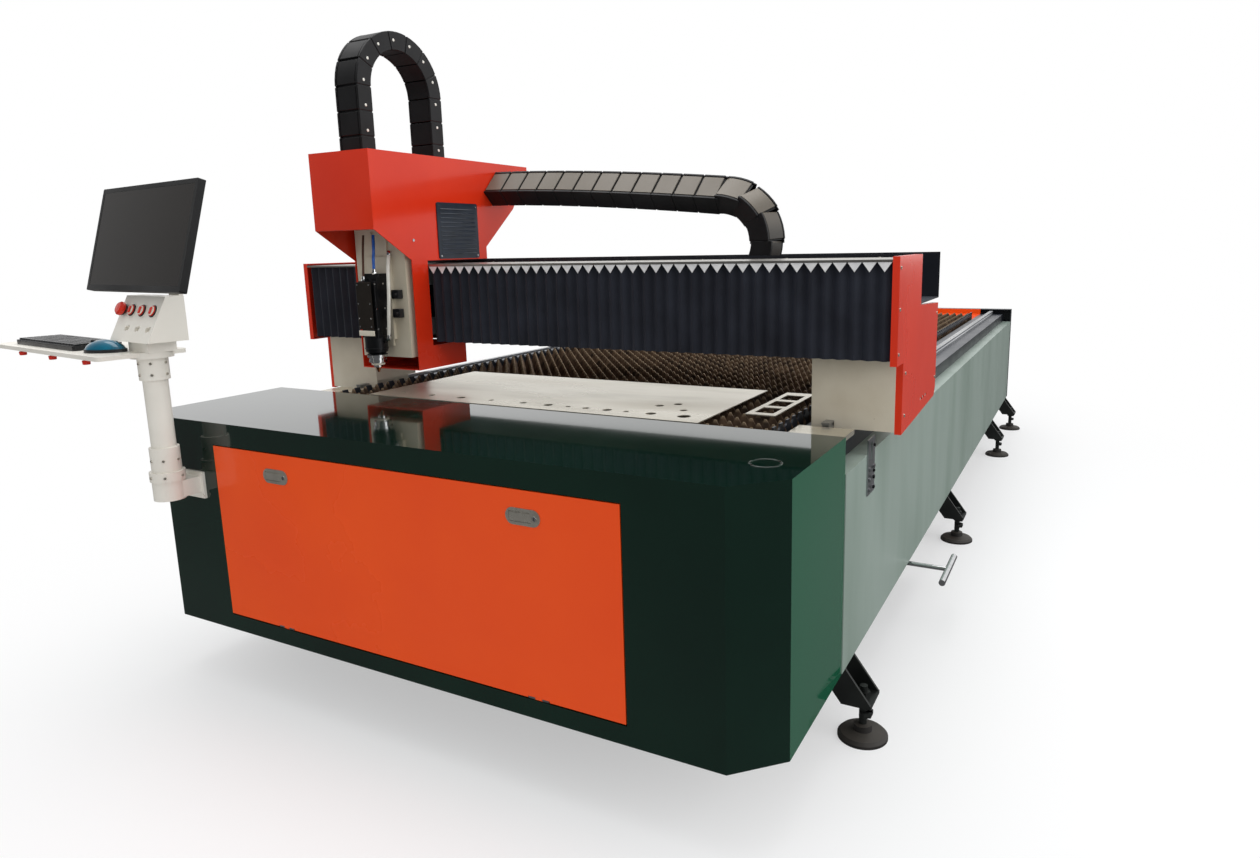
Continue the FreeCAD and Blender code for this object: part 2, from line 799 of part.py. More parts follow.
def monitor_housing():
    """Slim monitor back with a raised centre block and its tilt barrel."""
    w = monitor_width / 2
    h = monitor_height / 2
    g = monitor_gauge
    panel = rounded_box(-w, w, 0, g, -h, h, 4, Y_DIR)
    panel = panel.cut(box(-w + 13, w - 13, -1, 2, -h + 16, h - 13))
    block = rounded_box(-130, 130, g, g + 16, -90, 90, 18, Y_DIR)
    back = g + tilt_reach
    barrel = rod(10, V(-20, back, 0), X_DIR, 40)
    lug = box(-20, 20, g + 15, back, -9, 9)
    bore = rod(tilt_pin_radius + running_gap, V(-21, back, 0), X_DIR, 42)
    return monitor_place(joined([panel, block, barrel, lug]).cut(bore))


def monitor_screen():
    """Glass panel set into the monitor's frame."""
    w = monitor_width / 2 - 13
    h = monitor_height / 2
    return monitor_place(box(-w, w, 0.5, 2, -h + 16, h - 13))


def monitor_bracket():
    """Upright behind the monitor with a forked head that holds the tilt pin."""
    centre, lean = monitor_frame()
    reach = monitor_gauge + tilt_reach
    angle = math.radians(lean)
    py = centre.y + reach * math.cos(angle)
    pz = centre.z + reach * math.sin(angle)
    post = rounded_box(-30, 30, py + 14, py + 26, console_z[1] - 60, pz + 24, 8, Y_DIR)
    foot = box(-30, 30, console_y[1], py + 26, console_z[1] - 60, console_z[1] - 4)
    pieces = [post, foot]
    for side in (-1, 1):
        x0, x1 = sorted((side * 20.3, side * 28))
        pieces.append(box(x0, x1, py - 10, py + 15, pz - 12, pz + 12))
    pieces.append(rod(tilt_pin_radius, V(-28, py, pz), X_DIR, 56))
    return arm_place(joined(pieces))


# ---- gantry ----------------------------------------------------------------------------------
def gantry_beam():
    """Hollow cross beam with closed ends."""
    y0, y1 = gantry_beam_y
    z0, z1 = gantry_beam_z
    half = gantry_beam_half
    w = gantry_beam_wall
    beam = box(-half, half, y0, y1, z0, z1)
    return beam.cut(box(-half + w, half - w, y0 + w, y1 - w, z0 + w, z1 - w))


def foot_blocks():
    """Cast feet with a front skirt; two runners under each ride on a guide rail."""
    x0, x1 = foot_block_x
    y0, y1 = foot_block_y
    top = gantry_beam_z[0]
    rail_top = beam_top + guide_height
    block = box(x0, x1, y0, y1, rail_top + 14, top)
    skirt = box(x0, x1, y0, y0 + 6, skirt_low, top)
    shelf = box(guide_x + 60, x1, y1 - 20, y1 + 190, rail_top + 14, rail_top + 30)
    pieces = [block, skirt, shelf]
    for start in (y0 + 20, y1 - 110):
        pieces.append(box(guide_x - 34, guide_x + 34, start, start + 90, beam_top + 5, rail_top + 15))
    foot = joined(pieces)
    clear = touch_gap
    w = guide_half_width + clear
    groove = box(guide_x - w, guide_x + w, y0 - 1, y1 + 300, beam_top - 1, rail_top + clear)
    return compound(both_sides(foot.cut(groove)))


def y_motors():
    """Drive motors standing on the feet's rear shelves, inside the end covers."""
    x1 = foot_block_x[1]
    base = beam_top + guide_height + 30
    y = foot_block_y[1] + 110
    body = box(x1 - 92, x1 - 2, y - 45, y + 45, base, base + 120)
    cap = box(x1 - 84, x1 - 10, y - 37, y + 37, base + 120, base + 190)
    return compound(both_sides(joined([body, cap])))


def end_covers():
    """Folded end covers: upper part forward round the beam, lower part back round the drive."""
    back = gantry_beam_y[1] + 15
    low_back = back + 299
    top = gantry_beam_z[1] + 14
    outline = [(gantry_front, top), (back, top), (back, 1156), (low_back, 1143), (low_back, 865)]
    outline += [(low_back - 19, 838), (gantry_front + 82, 810)]
    outline += [(gantry_front + 82, 1013), (gantry_front, 1013)]
    g = sheet_gauge
    outer = end_cover_half
    rim = end_cover_half - end_cover_rim
    inner = [(gantry_front + g, top - g), (back - g, top - g), (back - g, 1153), (low_back - g, 1140)]
    inner += [(low_back - g, 866), (low_back - 20, 841), (gantry_front + 82 + g, 813 + 0.2)]
    inner += [(gantry_front + 82 + g, 1016), (gantry_front + g, 1016)]
    cover = prism_x(outline, rim, outer).cut(prism_x(inner, rim - 1, outer - g))
    slots = []
    for index in range(3):
        y = gantry_front + 350 + index * 40
        slots.append(box(outer - 5, outer + 1, y, y + 26, 862, 870))
    return compound(both_sides(cover.cut(compound(slots))))


def beam_top_cover():
    """Flat bright cover over the beam and the bellows."""
    z = gantry_beam_z[1]
    half = end_cover_half - end_cover_rim
    return box(-half, half, gantry_front, gantry_beam_y[1] + 12, z, z + top_cover_gauge)


def x_guides():
    """Two guide rails for the carriage on the front of the beam."""
    y1 = gantry_beam_y[0]
    half = end_cover_half - end_cover_rim - 4
    rails = []
    for z in x_guide_heights:
        rails.append(box(-half, half, y1 - x_guide_depth, y1, z - x_guide_half, z + x_guide_half))
    return compound(rails)


def bellows(x0, x1):
    """Closed solid of one folded bellows, hung under the top cover."""
    return box(x0, x1, bellows_y[0], bellows_y[1], bellows_bottom, gantry_beam_z[1])


def chain_tray():
    """Open channel behind the beam that carries the chain, with brackets to the beam."""
    y0, y1 = tray_back_y
    z0, z1 = tray_back_z
    half = gantry_beam_half
    g = sheet_gauge
    tray = box(-half, half, y0, y1, z0, z1).cut(box(-half - 1, half + 1, y0 + g, y1 - g, z0 + g, z1 + 1))
    pieces = [tray]
    for x in (-900, -300, 300, 900):
        pieces.append(box(x - 20, x + 20, gantry_beam_y[1], y0 + 1, z0, z0 + 90))
    anchor = box(40, 240, y0 + g, y0 + 130, z0 + g, z0 + g + 8)
    return joined(pieces + [anchor])


# ---- carriage --------------------------------------------------------------------------------
def carriage_plate():
    """Plate across the two guide rails with four runner blocks behind it."""
    inner = carriage_half - sheet_gauge
    c = carriage_centre
    y0, y1 = carriage_plate_y
    z0 = x_guide_heights[0] - 42
    z1 = x_guide_heights[1] + 30
    pieces = [box(c - inner, c + inner, y0, y1, z0, z1)]
    rail_front = gantry_beam_y[0] - x_guide_depth
    for z in x_guide_heights:
        for x in (c - 80, c + 80):
            block = box(x - 45, x + 45, y1 - 1, gantry_beam_y[0] - 6, z - 30, z + 30)
            pieces.append(block)
    plate = joined(pieces)
    for z in x_guide_heights:
        half = x_guide_half + touch_gap
        front = rail_front - touch_gap
        plate = plate.cut(box(c - 200, c + 200, front, gantry_beam_y[0] + 1, z - half, z + half))
    return plate


def column_outline(inset):
    """Side view of the carriage cover as (y, z) points, open towards the head at the front."""
    g = inset
    front = head_cover_y[1] - (1 if g else 0)
    low, top, back = carriage_bottom + g, carriage_top - g, column_back - g
    heel_y, heel_z = column_heel
    waist_low, waist_high = column_waist_z
    step = (column_waist_y - g, waist_low - g / 3)
    outline = [(front, low), (front, top), (back, top), (back, column_back_low)]
    outline.append((heel_y - g, heel_z + 2 * g / 3))
    outline += [(column_waist_y - g, waist_high + 2 * g / 3), step, (column_notch_y + 2 * g / 3, step[1])]
    outline += [(column_notch_y + 2 * g / 3, column_notch_low + g / 3)]
    return outline + [(column_foot_back - g, column_notch_low + g / 3), (column_foot_back - g, low)]


def column_cover():
    """Folded cover over the carriage: two hooked sides joined by top, back and bottom sheets."""
    c = carriage_centre
    g = sheet_gauge
    half = carriage_half
    shell = prism_x(column_outline(0), c - half, c + half)
    shell = shell.cut(prism_x(column_outline(g), c - half + g, c + half - g))
    x0, x1 = z_chain_x
    chain_inner = z_chain_back - z_chain_gauge
    slot = z_chain_slot(chain_inner, z_chain_back)
    shelf = box(c - half + g, x1, chain_inner, z_chain_back, z_chain_bottom - 8, z_chain_bottom)
    window = box(c + half - g - 1, c + half + 1, vent_y[0], vent_y[1], vent_z[0], vent_z[1])
    return joined([shell.cut(slot).cut(window), shelf])


def z_chain_slot(front, back):
    """Cutter for the slot in a cover's top that one leg of the height chain passes through."""
    x0, x1 = z_chain_x
    room = z_chain_room
    return box(x0 - room, x1 + room, front - room, back + room, carriage_top - 5, carriage_top + 1)


def vent_grille():
    """Louvred plate over the window in the cover's right side."""
    x = carriage_centre + carriage_half
    rim = 10
    plate = rounded_box(x, x + 4, vent_y[0] - rim, vent_y[1] + rim, vent_z[0] - 9, vent_z[1] + 9, 8, X_DIR)
    louvres = []
    for index in range(vent_louvres):
        z = vent_z[0] + 9 + index * vent_louvre_pitch
        louvres.append(box(x - 1, x + 5, vent_y[0] + 6, vent_y[1] - 6, z, z + 5))
    return plate.cut(compound(louvres))


def head_cover():
    """Folded hood over the cutting head, open underneath and behind."""
    c = carriage_centre
    g = sheet_gauge
    y0, y1 = head_cover_y
    outline = [(y0, head_cover_low), (y0, carriage_top), (y1, carriage_top), (y1, head_cover_back_low)]
    shell = prism_x(outline, c - carriage_half, c + carriage_half)
    inner = [(y0 + g, head_cover_low - 60), (y0 + g, carriage_top - g), (y1 + 1, carriage_top - g)]
    inner += [(y1 + 1, head_cover_back_low - 60)]
    shell = shell.cut(prism_x(inner, c - carriage_half + g, c + carriage_half - g))
    return shell.cut(z_chain_slot(z_chain_front, z_chain_front + z_chain_gauge))


def z_housing():
    """Tall housing of the height axis with two guide rails and two sensor blocks on its face."""
    c = carriage_centre
    y0, y1 = housing_y
    z0, z1 = housing_z
    body = box(c - housing_half, c + housing_half, y0, y1, z0, z1)
    pieces = [body]
    for x in (c - 34, c + 34):
        pieces.append(box(x - 6, x + 6, y0 - 7, y0, z0 + 30, z0 + 420))
    for z in (1120, 1185):
        pieces.append(box(c + 62, c + 92, y0 - 20, y0, z, z + 26))
    lips = box(c - housing_half, c + housing_half, y0, y1, z0 - 10, z0)
    return joined(pieces + [lips])


def chain_centre_line():
    """Side view of the upper chain run: a long shallow sag into the bend."""
    x0 = carriage_centre + carriage_half
    left_z = chain_start_z
    right_z = chain_bend_z + chain_bend_radius
    return x0, left_z, chain_bend_x - touch_gap, right_z


def x_chain_run():
    """Upper run of the energy chain from the carriage to the bend, one closed solid."""
    x0, left_z, x1, right_z = chain_centre_line()
    half = chain_height / 2
    steps = 8
    middle = []
    for index in range(steps + 1):
        share = index / steps
        x = x0 + (x1 - x0) * share
        z = right_z + (left_z - right_z) * (1 - share * share)
        middle.append((x, z))
    upper = [(x, z + half) for x, z in middle]
    lower = [(x, z - half) for x, z in reversed(middle)]
    return prism_y(upper + lower, chain_y[0], chain_y[1])


def ring_sector(outer, inner, centre, across, depth, start, sweep):
    """Part of a flat ring; angles run from the `across` direction towards +Z."""
    def at(radius, angle):
        return centre + across * (radius * math.cos(angle)) + Z_DIR * (radius * math.sin(angle))

    a0 = math.radians(start)
    a1 = math.radians(start + sweep)
    mid = (a0 + a1) / 2
    edges = [Part.Arc(at(outer, a0), at(outer, mid), at(outer, a1)).toShape()]
    edges.append(Part.LineSegment(at(outer, a1), at(inner, a1)).toShape())
    edges.append(Part.Arc(at(inner, a1), at(inner, mid), at(inner, a0)).toShape())
    edges.append(Part.LineSegment(at(inner, a0), at(outer, a0)).toShape())
    return Part.Face(Part.Wire(edges)).extrude(depth)


def x_chain_bend():
    """Half-round bend of the energy chain."""
    half = chain_height / 2
    centre = V(chain_bend_x, chain_y[0], chain_bend_z)
    depth = V(0, chain_y[1] - chain_y[0], 0)
    return ring_sector(chain_bend_radius + half, chain_bend_radius - half, centre, X_DIR, depth, -90, 180)


def z_chain():
    """Energy chain that loops over from the column to the cutting head."""
    x0, x1 = z_chain_x
    outer = (z_chain_back - z_chain_front) / 2
    inner = outer - z_chain_gauge
    centre = V(x0, z_chain_front + outer, z_chain_centre_z)
    pieces = [ring_sector(outer, inner, centre, Y_DIR, V(x1 - x0, 0, 0), 0, 180)]
    for y0 in (z_chain_front, z_chain_back - z_chain_gauge):
        pieces.append(box(x0, x1, y0, y0 + z_chain_gauge, z_chain_bottom, z_chain_centre_z))
    return joined(pieces)


# ---- cutting head --------------------------------------------------------------------------
def height_plate():
    """Plate that slides on the housing's guide rails, grooved for them."""
    c = carriage_centre
    y0 = head_back
    y1 = housing_y[0] - touch_gap
    plate = box(c - 52, c + 52, y0, y1, head_z[0] - 10, head_z[1] + 80)
    for x in (c - 34, c + 34):
        groove = box(x - 6 - touch_gap, x + 6 + touch_gap, housing_y[0] - 7 - touch_gap, y1 + 1, 900, 1400)
        plate = plate.cut(groove)
    return plate


def laser_head():
    """Cutting head: front cover box, taller side box and the round lower body."""
    x = nozzle_x
    low, high = head_z
    half = head_half
    front = rounded_box(x - half, x + half, head_front, head_front + 24, low, high, 4, Z_DIR)
    half = head_half - 2
    side = rounded_box(x - half, x + half, head_front + 23, head_back, low, high + 24, 4, Z_DIR)
    lower = revolved([(0, 0), (26, 0), (38, 16), (38, 66), (0, 66)], V(x, nozzle_y, 992), Z_DIR, X_DIR)
    port = rod(7, V(x + 30, nozzle_y, 1040), X_DIR, 18)
    return joined([front, side, lower, port])


def nozzle_stack():
    """Stepped rings, ceramic ring and copper tip."""
    base = 992.0
    rings = []
    height = base
    for radius, length in ((34, 9), (28, 8), (30, 9), (22, 8), (15, 10)):
        rings.append(rod(radius, V(nozzle_x, nozzle_y, height - length), Z_DIR, length))
        height -= length
    tip = revolved([(0, nozzle_tip - height), (2.5, nozzle_tip - height), (9, 0), (0, 0)],
                   V(nozzle_x, nozzle_y, height), Z_DIR, X_DIR)
    return joined(rings + [tip])


def hose(points, radius):
    """Round hose of straight runs joined by tangent arcs as large as the runs allow."""
    edges = []
    last = points[0]
    radii = []
    for before, corner, after in zip(points, points[1:], points[2:]):
        inward = (corner - before).normalize()
        outward = (after - corner).normalize()
        turn = inward.getAngle(outward)
        short = min(before.distanceToPoint(corner), corner.distanceToPoint(after))
        back = 0.45 * short
        bend = back / math.tan(turn / 2)
        radii.append(bend)
        start = corner - inward * back
        end = corner + outward * back
        toward = (outward - inward).normalize()
        middle = corner + toward * (bend / math.cos(turn / 2) - bend)
        edges.append(Part.LineSegment(last, start).toShape())
        edges.append(Part.Arc(start, middle, end).toShape())
        last = end
    edges.append(Part.LineSegment(last, points[-1]).toShape())
    path = Part.Wire(edges)
    circle = Part.Wire(Part.Circle(points[0], (points[1] - points[0]).normalize(), radius).toShape())
    tube = path.makePipeShell([circle], True, False)
    area = math.pi * radius * radius
    fill = round(tube.Volume / (area * path.Length), 3)
    print("hose", round(path.Length), "mm, radii", [round(r) for r in radii], fill)
    return tube


# Routes of the head's hoses, from the cover above down to the head.
white_route = [V(-566, 628, 1345), V(-562, 612, 1296), V(-548, 596, 1246), V(-545, 590, 1190),
               V(-552, 590, 1134),
               V(-560, 594, 1084), V(-568, 597, 1046)]
blue_route = [V(-606, 600, 1400), V(-604, 596, 1352), V(-607, 592, 1310), V(-605, 590, 1270)]
signal_route = [V(-646, 594, 1400), V(-650, 590, 1350), V(-647, 584, 1300), V(-646, 578, 1246)]


# ---- all nodes ---------------------------------------------------------------------------------
def all_nodes():
    """Every node of the machine by name."""
    nodes = {
        "base_frame": base_frame(),
        "rail_beams": rail_beams(),
        "side_panels": side_panels(),
        "rear_frame": rear_frame(),
        "rear_baffle": rear_baffle(),
        "front_hood": front_hood(),
        "panel_hinges": panel_hinges(),
        "slats": slats(),
        "slat_combs": slat_combs(),
        "cut_sheets": cut_sheets(),
        "y_guides": y_guides(),
        "guide_end_covers": guide_end_covers(),
        "foot_brackets": foot_brackets(),
        "foot_studs": foot_studs(),
        "foot_pads": foot_pads(),
        "limit_bracket": limit_bracket(),
        "arm_bracket": arm_bracket(),
        "access_panel": access_panel(),
        "latch_bezels": latch_bezels(),
        "left_latch_paddle": latch_paddle(-latch_x),
        "right_latch_paddle": latch_paddle(latch_x),
        "slag_drawer": slag_drawer(),
        "drawer_handle": drawer_handle(),
        "arm_sleeve": arm_sleeve(),
        "arm_tube": arm_tube(),
        "arm_collar": arm_collar(),
        "keyboard_tray": keyboard_tray(),
        "console_box": console_box(),
        "keyboard": keyboard(),
        "mouse": mouse(),
        "stop_button": stop_button(),
        "monitor_bracket": monitor_bracket(),
        "monitor_housing": monitor_housing(),
        "monitor_screen": monitor_screen(),
        "gantry_beam": gantry_beam(),
        "foot_blocks": foot_blocks(),
        "y_motors": y_motors(),
        "end_covers": end_covers(),
        "beam_top_cover": beam_top_cover(),
        "x_guides": x_guides(),
        "left_bellows": bellows(-end_cover_half + end_cover_rim, carriage_centre - carriage_half + 2),
        "right_bellows": bellows(carriage_centre + carriage_half - 2, end_cover_half - end_cover_rim),
        "chain_tray": chain_tray(),
        "carriage_plate": carriage_plate(),
        "column_cover": column_cover(),
        "vent_grille": vent_grille(),
        "head_cover": head_cover(),
        "z_housing": z_housing(),
        "x_chain_run": x_chain_run(),
        "x_chain_bend": x_chain_bend(),
        "z_chain": z_chain(),
        "height_plate": height_plate(),
        "laser_head": laser_head(),
        "nozzle_stack": nozzle_stack(),
        "white_hose": hose(white_route, 6),
        "blue_hose": hose(blue_route, 5),
        "signal_cable": hose(signal_route, 4),
    }
    for index, x in enumerate(button_places):
        nodes["push_button_%d" % (index + 1)] = push_button(x)
    return nodes


def overall_box(nodes):
    """Bounding box of every node together."""
    total = FreeCAD.BoundBox()
    for shape in nodes.values():
        total.add(shape.BoundBox)
    return total


def main():
    """Build, move the origin to the middle of the footprint, and write the files."""
    os.makedirs("parts", exist_ok=True)
    nodes = all_nodes()
    total = overall_box(nodes)
    shift = V(-total.Center.x, -total.Center.y, -total.ZMin)
    lengths = [round(v, 1) for v in (total.XLength, total.YLength, total.ZLength)]
    print("size", lengths, "shift", shift, len(nodes))
    for name, shape in nodes.items():
        if not shape.isValid():
            print("not valid:", name)
        shape.translate(shift)
        shape.exportStep("parts/%s.step" % name)


main()
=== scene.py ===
"""Finish, small parts, light and camera for a flat-bed laser cutting machine."""

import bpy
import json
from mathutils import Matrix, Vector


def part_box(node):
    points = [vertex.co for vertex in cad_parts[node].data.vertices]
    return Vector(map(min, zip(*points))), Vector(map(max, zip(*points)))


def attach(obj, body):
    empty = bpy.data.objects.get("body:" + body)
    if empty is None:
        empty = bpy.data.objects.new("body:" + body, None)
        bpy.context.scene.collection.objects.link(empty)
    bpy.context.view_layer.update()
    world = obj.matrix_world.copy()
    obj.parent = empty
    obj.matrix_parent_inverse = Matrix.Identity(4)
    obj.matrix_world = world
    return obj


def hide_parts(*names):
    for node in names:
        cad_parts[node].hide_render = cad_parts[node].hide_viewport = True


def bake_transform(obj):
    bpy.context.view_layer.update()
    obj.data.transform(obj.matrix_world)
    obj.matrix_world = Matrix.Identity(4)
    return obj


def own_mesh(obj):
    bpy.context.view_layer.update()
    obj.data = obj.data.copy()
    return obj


bl_info = {
    "name": "Laser Cutting Machine Finish",
    "version": (1, 0, 0),
    "blender": (4, 5, 0),
    "location": "3D View > Sidebar > Laser Cutter",
    "description": "Hardware, bellows, chains, hoses and finishes of a laser cutting machine",
    "category": "Object",
}

import json
import math

import bmesh
import bpy
from mathutils import Matrix, Vector

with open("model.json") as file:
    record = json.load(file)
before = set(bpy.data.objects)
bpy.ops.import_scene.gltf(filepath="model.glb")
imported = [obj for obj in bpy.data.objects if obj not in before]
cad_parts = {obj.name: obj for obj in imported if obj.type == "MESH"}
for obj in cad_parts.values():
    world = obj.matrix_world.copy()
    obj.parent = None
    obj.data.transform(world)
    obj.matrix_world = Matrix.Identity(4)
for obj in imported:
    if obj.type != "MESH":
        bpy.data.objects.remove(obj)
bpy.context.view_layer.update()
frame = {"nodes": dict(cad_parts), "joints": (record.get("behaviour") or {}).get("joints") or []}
HOOD_LOW, HOOD_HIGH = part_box("front_hood")
MM = 0.001
BEND_STEPS = 4
SLEEVE_LENGTH = 100
SLEEVE_INSET = 9
TAIL_LENGTH = 100
RAIL_SCREWS = 40
RAIL_SCREW_PITCH = 0.1
TOP_SCREWS = 8
LOCK_NUTS = ((64, 14), (93, 12))  # height over the floor and thickness in mm
LOUVRES = 11
LOUVRE_PITCH = 15.5
UP = Vector((0, 0, 1))
ACROSS = Vector((1, 0, 0))
REARWARD = Vector((0, 1, 0))


# ---- places -----------------------------------------------------------------------------
def at(x, y, z):
    """A point in millimetres from the machine's centreline, the hood's face and the floor."""
    return Vector(((HOOD_LOW.x + HOOD_HIGH.x) / 2 + x * MM, HOOD_LOW.y + y * MM, z * MM))


def joint_place(name):
    """The point that a hinge turns about."""
    return Vector(next(j["pos_m"] for j in frame["joints"] if j["name"] == name))


def joint_axis(name):
    """The direction that a joint slides along or turns about."""
    return Vector(next(j["axis"] for j in frame["joints"] if j["name"] == name))


def on_arm(x, y, z):
    """A point in millimetres in the control arm's own frame, which is turned a little about its pole."""
    turn = Matrix.Rotation(ARM_TURN, 3, "Z")
    return POLE + turn @ Vector((x, y, 0)) * MM + UP * z * MM


def basis(place, along, across, up):
    """The matrix that takes a part's own directions to a place in the machine."""
    turn = Matrix((along, across, up)).transposed().to_4x4()
    turn.translation = place
    return turn


ARM_AXIS = joint_axis("monitor_tilt")
ARM_TURN = math.atan2(ARM_AXIS.y, ARM_AXIS.x)
POLE = Vector((*joint_place("arm_swivel").xy, 0))
PRESS = joint_axis("emergency_press")


# ---- shapes -----------------------------------------------------------------------------
def add_block(bm, low, high, edge=0.0, place=None, bend=0.0):
    """A block between two corners in millimetres with broken edges, set down by a matrix.

    Bend is the radius in metres that the block's length curves to, about a line on its -Z side.
    """
    low, high = Vector(low) * MM, Vector(high) * MM
    made = bmesh.ops.create_cube(bm, size=1.0)["verts"]
    bmesh.ops.scale(bm, vec=high - low, verts=made)
    bmesh.ops.translate(bm, vec=(low + high) / 2, verts=made)
    if edge:
        edges = list({e for v in made for e in v.link_edges})
        made = bmesh.ops.bevel(bm, geom=edges, offset=edge * MM, segments=1, profile=0.5,
                               affect="EDGES", material=-1)["verts"]
    if bend:
        for step in range(1, BEND_STEPS):
            edges = list({e for v in made for e in v.link_edges})
            faces = list({f for v in made for f in v.link_faces})
            cut = bmesh.ops.bisect_plane(bm, geom=made + edges + faces, dist=1e-7, plane_no=ACROSS,
                                         plane_co=low + (high - low) * step / BEND_STEPS)["geom"]
            made = [g for g in cut if isinstance(g, bmesh.types.BMVert)]
        for v in made:
            angle, reach = v.co.x / bend, bend + v.co.z
            v.co.x, v.co.z = reach * math.sin(angle), reach * math.cos(angle) - bend
    if place is not None:
        bmesh.ops.transform(bm, matrix=place, verts=made)


def add_rod(bm, start, end, radius, tip=None, segments=24, edge=0.0):
    """A round bar or cone between two points, with radii in millimetres."""
    run = end - start
    turn = run.to_track_quat("Z", "Y").to_matrix().to_4x4()
    turn.translation = (start + end) / 2
    tip = radius if tip is None else tip
    made = bmesh.ops.create_cone(bm, cap_ends=True, segments=segments, radius1=radius * MM,
                                 radius2=tip * MM, depth=run.length, matrix=turn)["verts"]
    if edge:
        rims = list({e for v in made for e in v.link_edges if len(e.link_faces) == 2
                     and max(len(f.verts) for f in e.link_faces) > 4})
        bmesh.ops.bevel(bm, geom=rims, offset=edge * MM, segments=2, profile=0.5,
                        affect="EDGES", material=-1)


def add_ring(bm, centre, normal, radius, wall):
    """A round wire ring: a small circle spun about the ring's axis."""
    normal = normal.normalized()
    side = normal.orthogonal().normalized()
    turn = basis(centre + side * radius * MM, side, normal, side.cross(normal))
    made = bmesh.ops.create_circle(bm, segments=10, radius=wall * MM, matrix=turn)["verts"]
    edges = list({e for v in made for e in v.link_edges})
    bmesh.ops.spin(bm, geom=made + edges, cent=centre, axis=normal, angle=math.tau, steps=40,
                   use_merge=True)


def add_screw(bm, place, normal, radius=4.5, rise=3.0):
    """A socket-head screw: a short bar with a sunk hexagon-wide pocket."""
    normal = normal.normalized()
    turn = normal.to_track_quat("Z", "Y").to_matrix().to_4x4()
    turn.translation = place + normal * rise * MM / 2
    made = bmesh.ops.create_cone(bm, cap_ends=True, segments=12, radius1=radius * MM,
                                 radius2=radius * 0.94 * MM, depth=rise * MM, matrix=turn)["verts"]
    top = [f for f in {f for v in made for f in v.link_faces} if f.normal.dot(normal) > 0.9]
    bmesh.ops.inset_individual(bm, faces=top, thickness=radius * 0.42 * MM)
    inner = [f for f in top if f.is_valid]
    bmesh.ops.inset_individual(bm, faces=inner, thickness=radius * 0.04 * MM, depth=-rise * 0.55 * MM)


def piece(bm, name, material, body, smooth=True):
    """Makes the finished mesh a named piece that rides on one of the machine's bodies."""
    bmesh.ops.recalc_face_normals(bm, faces=bm.faces)
    mesh = bpy.data.meshes.new(name)
    bm.to_mesh(mesh)
    bm.free()
    mesh.materials.append(material)
    if smooth:
        mesh.shade_smooth()
        mesh.set_sharp_from_angle(angle=math.radians(34))
    made = bpy.data.objects.new(name, mesh)
    bpy.context.scene.collection.objects.link(made)
    if body:
        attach(made, body)
    return made


# ---- materials ----------------------------------------------------------------------------
def linear(code):
    """An sRGB hex colour as linear red, green, blue and alpha."""
    parts = [int(code[i:i + 2], 16) / 255 for i in (1, 3, 5)]
    return tuple(p / 12.92 if p <= 0.04045 else ((p + 0.055) / 1.055) ** 2.4 for p in parts) + (1.0,)


def add_node(material, kind, values=None, links=None, stops=None, **settings):
    """Adds one shader node. Stops are (place, hex colour) pairs of a colour ramp."""
    tree = material.node_tree
    node = tree.nodes.new("ShaderNode" + kind)
    for key, value in settings.items():
        setattr(node, key, value)
    for key, value in (values or {}).items():
        node.inputs[key].default_value = value
    for key, socket in (links or {}).items():
        tree.links.new(socket, node.inputs[key])
    if stops:
        ramp = node.color_ramp
        while len(ramp.elements) < len(stops):
            ramp.elements.new(1.0)
        for element, (place, code) in zip(ramp.elements, stops):
            element.position = place
            element.color = linear(code)
    return node


def start_material(name, shades, patch, rough, grain=2.0, depth=0.05, stretch=(1, 1, 1), **shader_values):
    """A shader whose colour drifts between shades over patches `patch` mm wide, with a fine bump.

    Rough is the lowest and highest roughness, grain the bump's spacing in mm and depth its height.
    """
    material = bpy.data.materials.new(name)
    material.use_nodes = True
    tree = material.node_tree
    tree.nodes.clear()
    place = add_node(material, "TexCoord").outputs["Object"]
    pulled = add_node(material, "Mapping", {"Scale": stretch}, {"Vector": place}).outputs[0]
    drift = add_node(material, "TexNoise", {"Scale": 1000 / patch, "Detail": 5.0}, {"Vector": pulled})
    steps = len(shades) - 1
    stops = [(0.3 + 0.4 * i / steps, code) for i, code in enumerate(shades)]
    colour = add_node(material, "ValToRGB", links={"Fac": drift.outputs["Fac"]}, stops=stops)
    smear = add_node(material, "TexNoise", {"Scale": 430 / patch, "Detail": 6.0}, {"Vector": pulled})
    polish = add_node(material, "MapRange",
                      {"From Min": 0.3, "From Max": 0.7, "To Min": rough[0], "To Max": rough[1]},
                      {"Value": smear.outputs["Fac"]})
    fine = add_node(material, "TexNoise", {"Scale": 1000 / grain, "Detail": 3.0}, {"Vector": pulled})
    bump = add_node(material, "Bump", {"Strength": 0.5, "Distance": depth * MM},
                    {"Height": fine.outputs["Fac"]})
    shader = add_node(material, "BsdfPrincipled", shader_values,
                      {"Base Color": colour.outputs["Color"], "Roughness": polish.outputs["Result"],
                       "Normal": bump.outputs["Normal"]})
    add_node(material, "OutputMaterial", links={"Surface": shader.outputs["BSDF"]})
    return material


def part_of(material, kind):
    """The first node of a kind, for a finish that adds to its start."""
    return next(n for n in material.node_tree.nodes if n.bl_idname == "ShaderNode" + kind)


def overlay(material, mask, code):
    """Lays a second colour over the first wherever the mask is one."""
    shader = part_of(material, "BsdfPrincipled")
    under = shader.inputs["Base Color"].links[0].from_socket
    mix = add_node(material, "Mix", {7: linear(code)}, {0: mask, 6: under}, data_type="RGBA")
    material.node_tree.links.new(mix.outputs[2], shader.inputs["Base Color"])


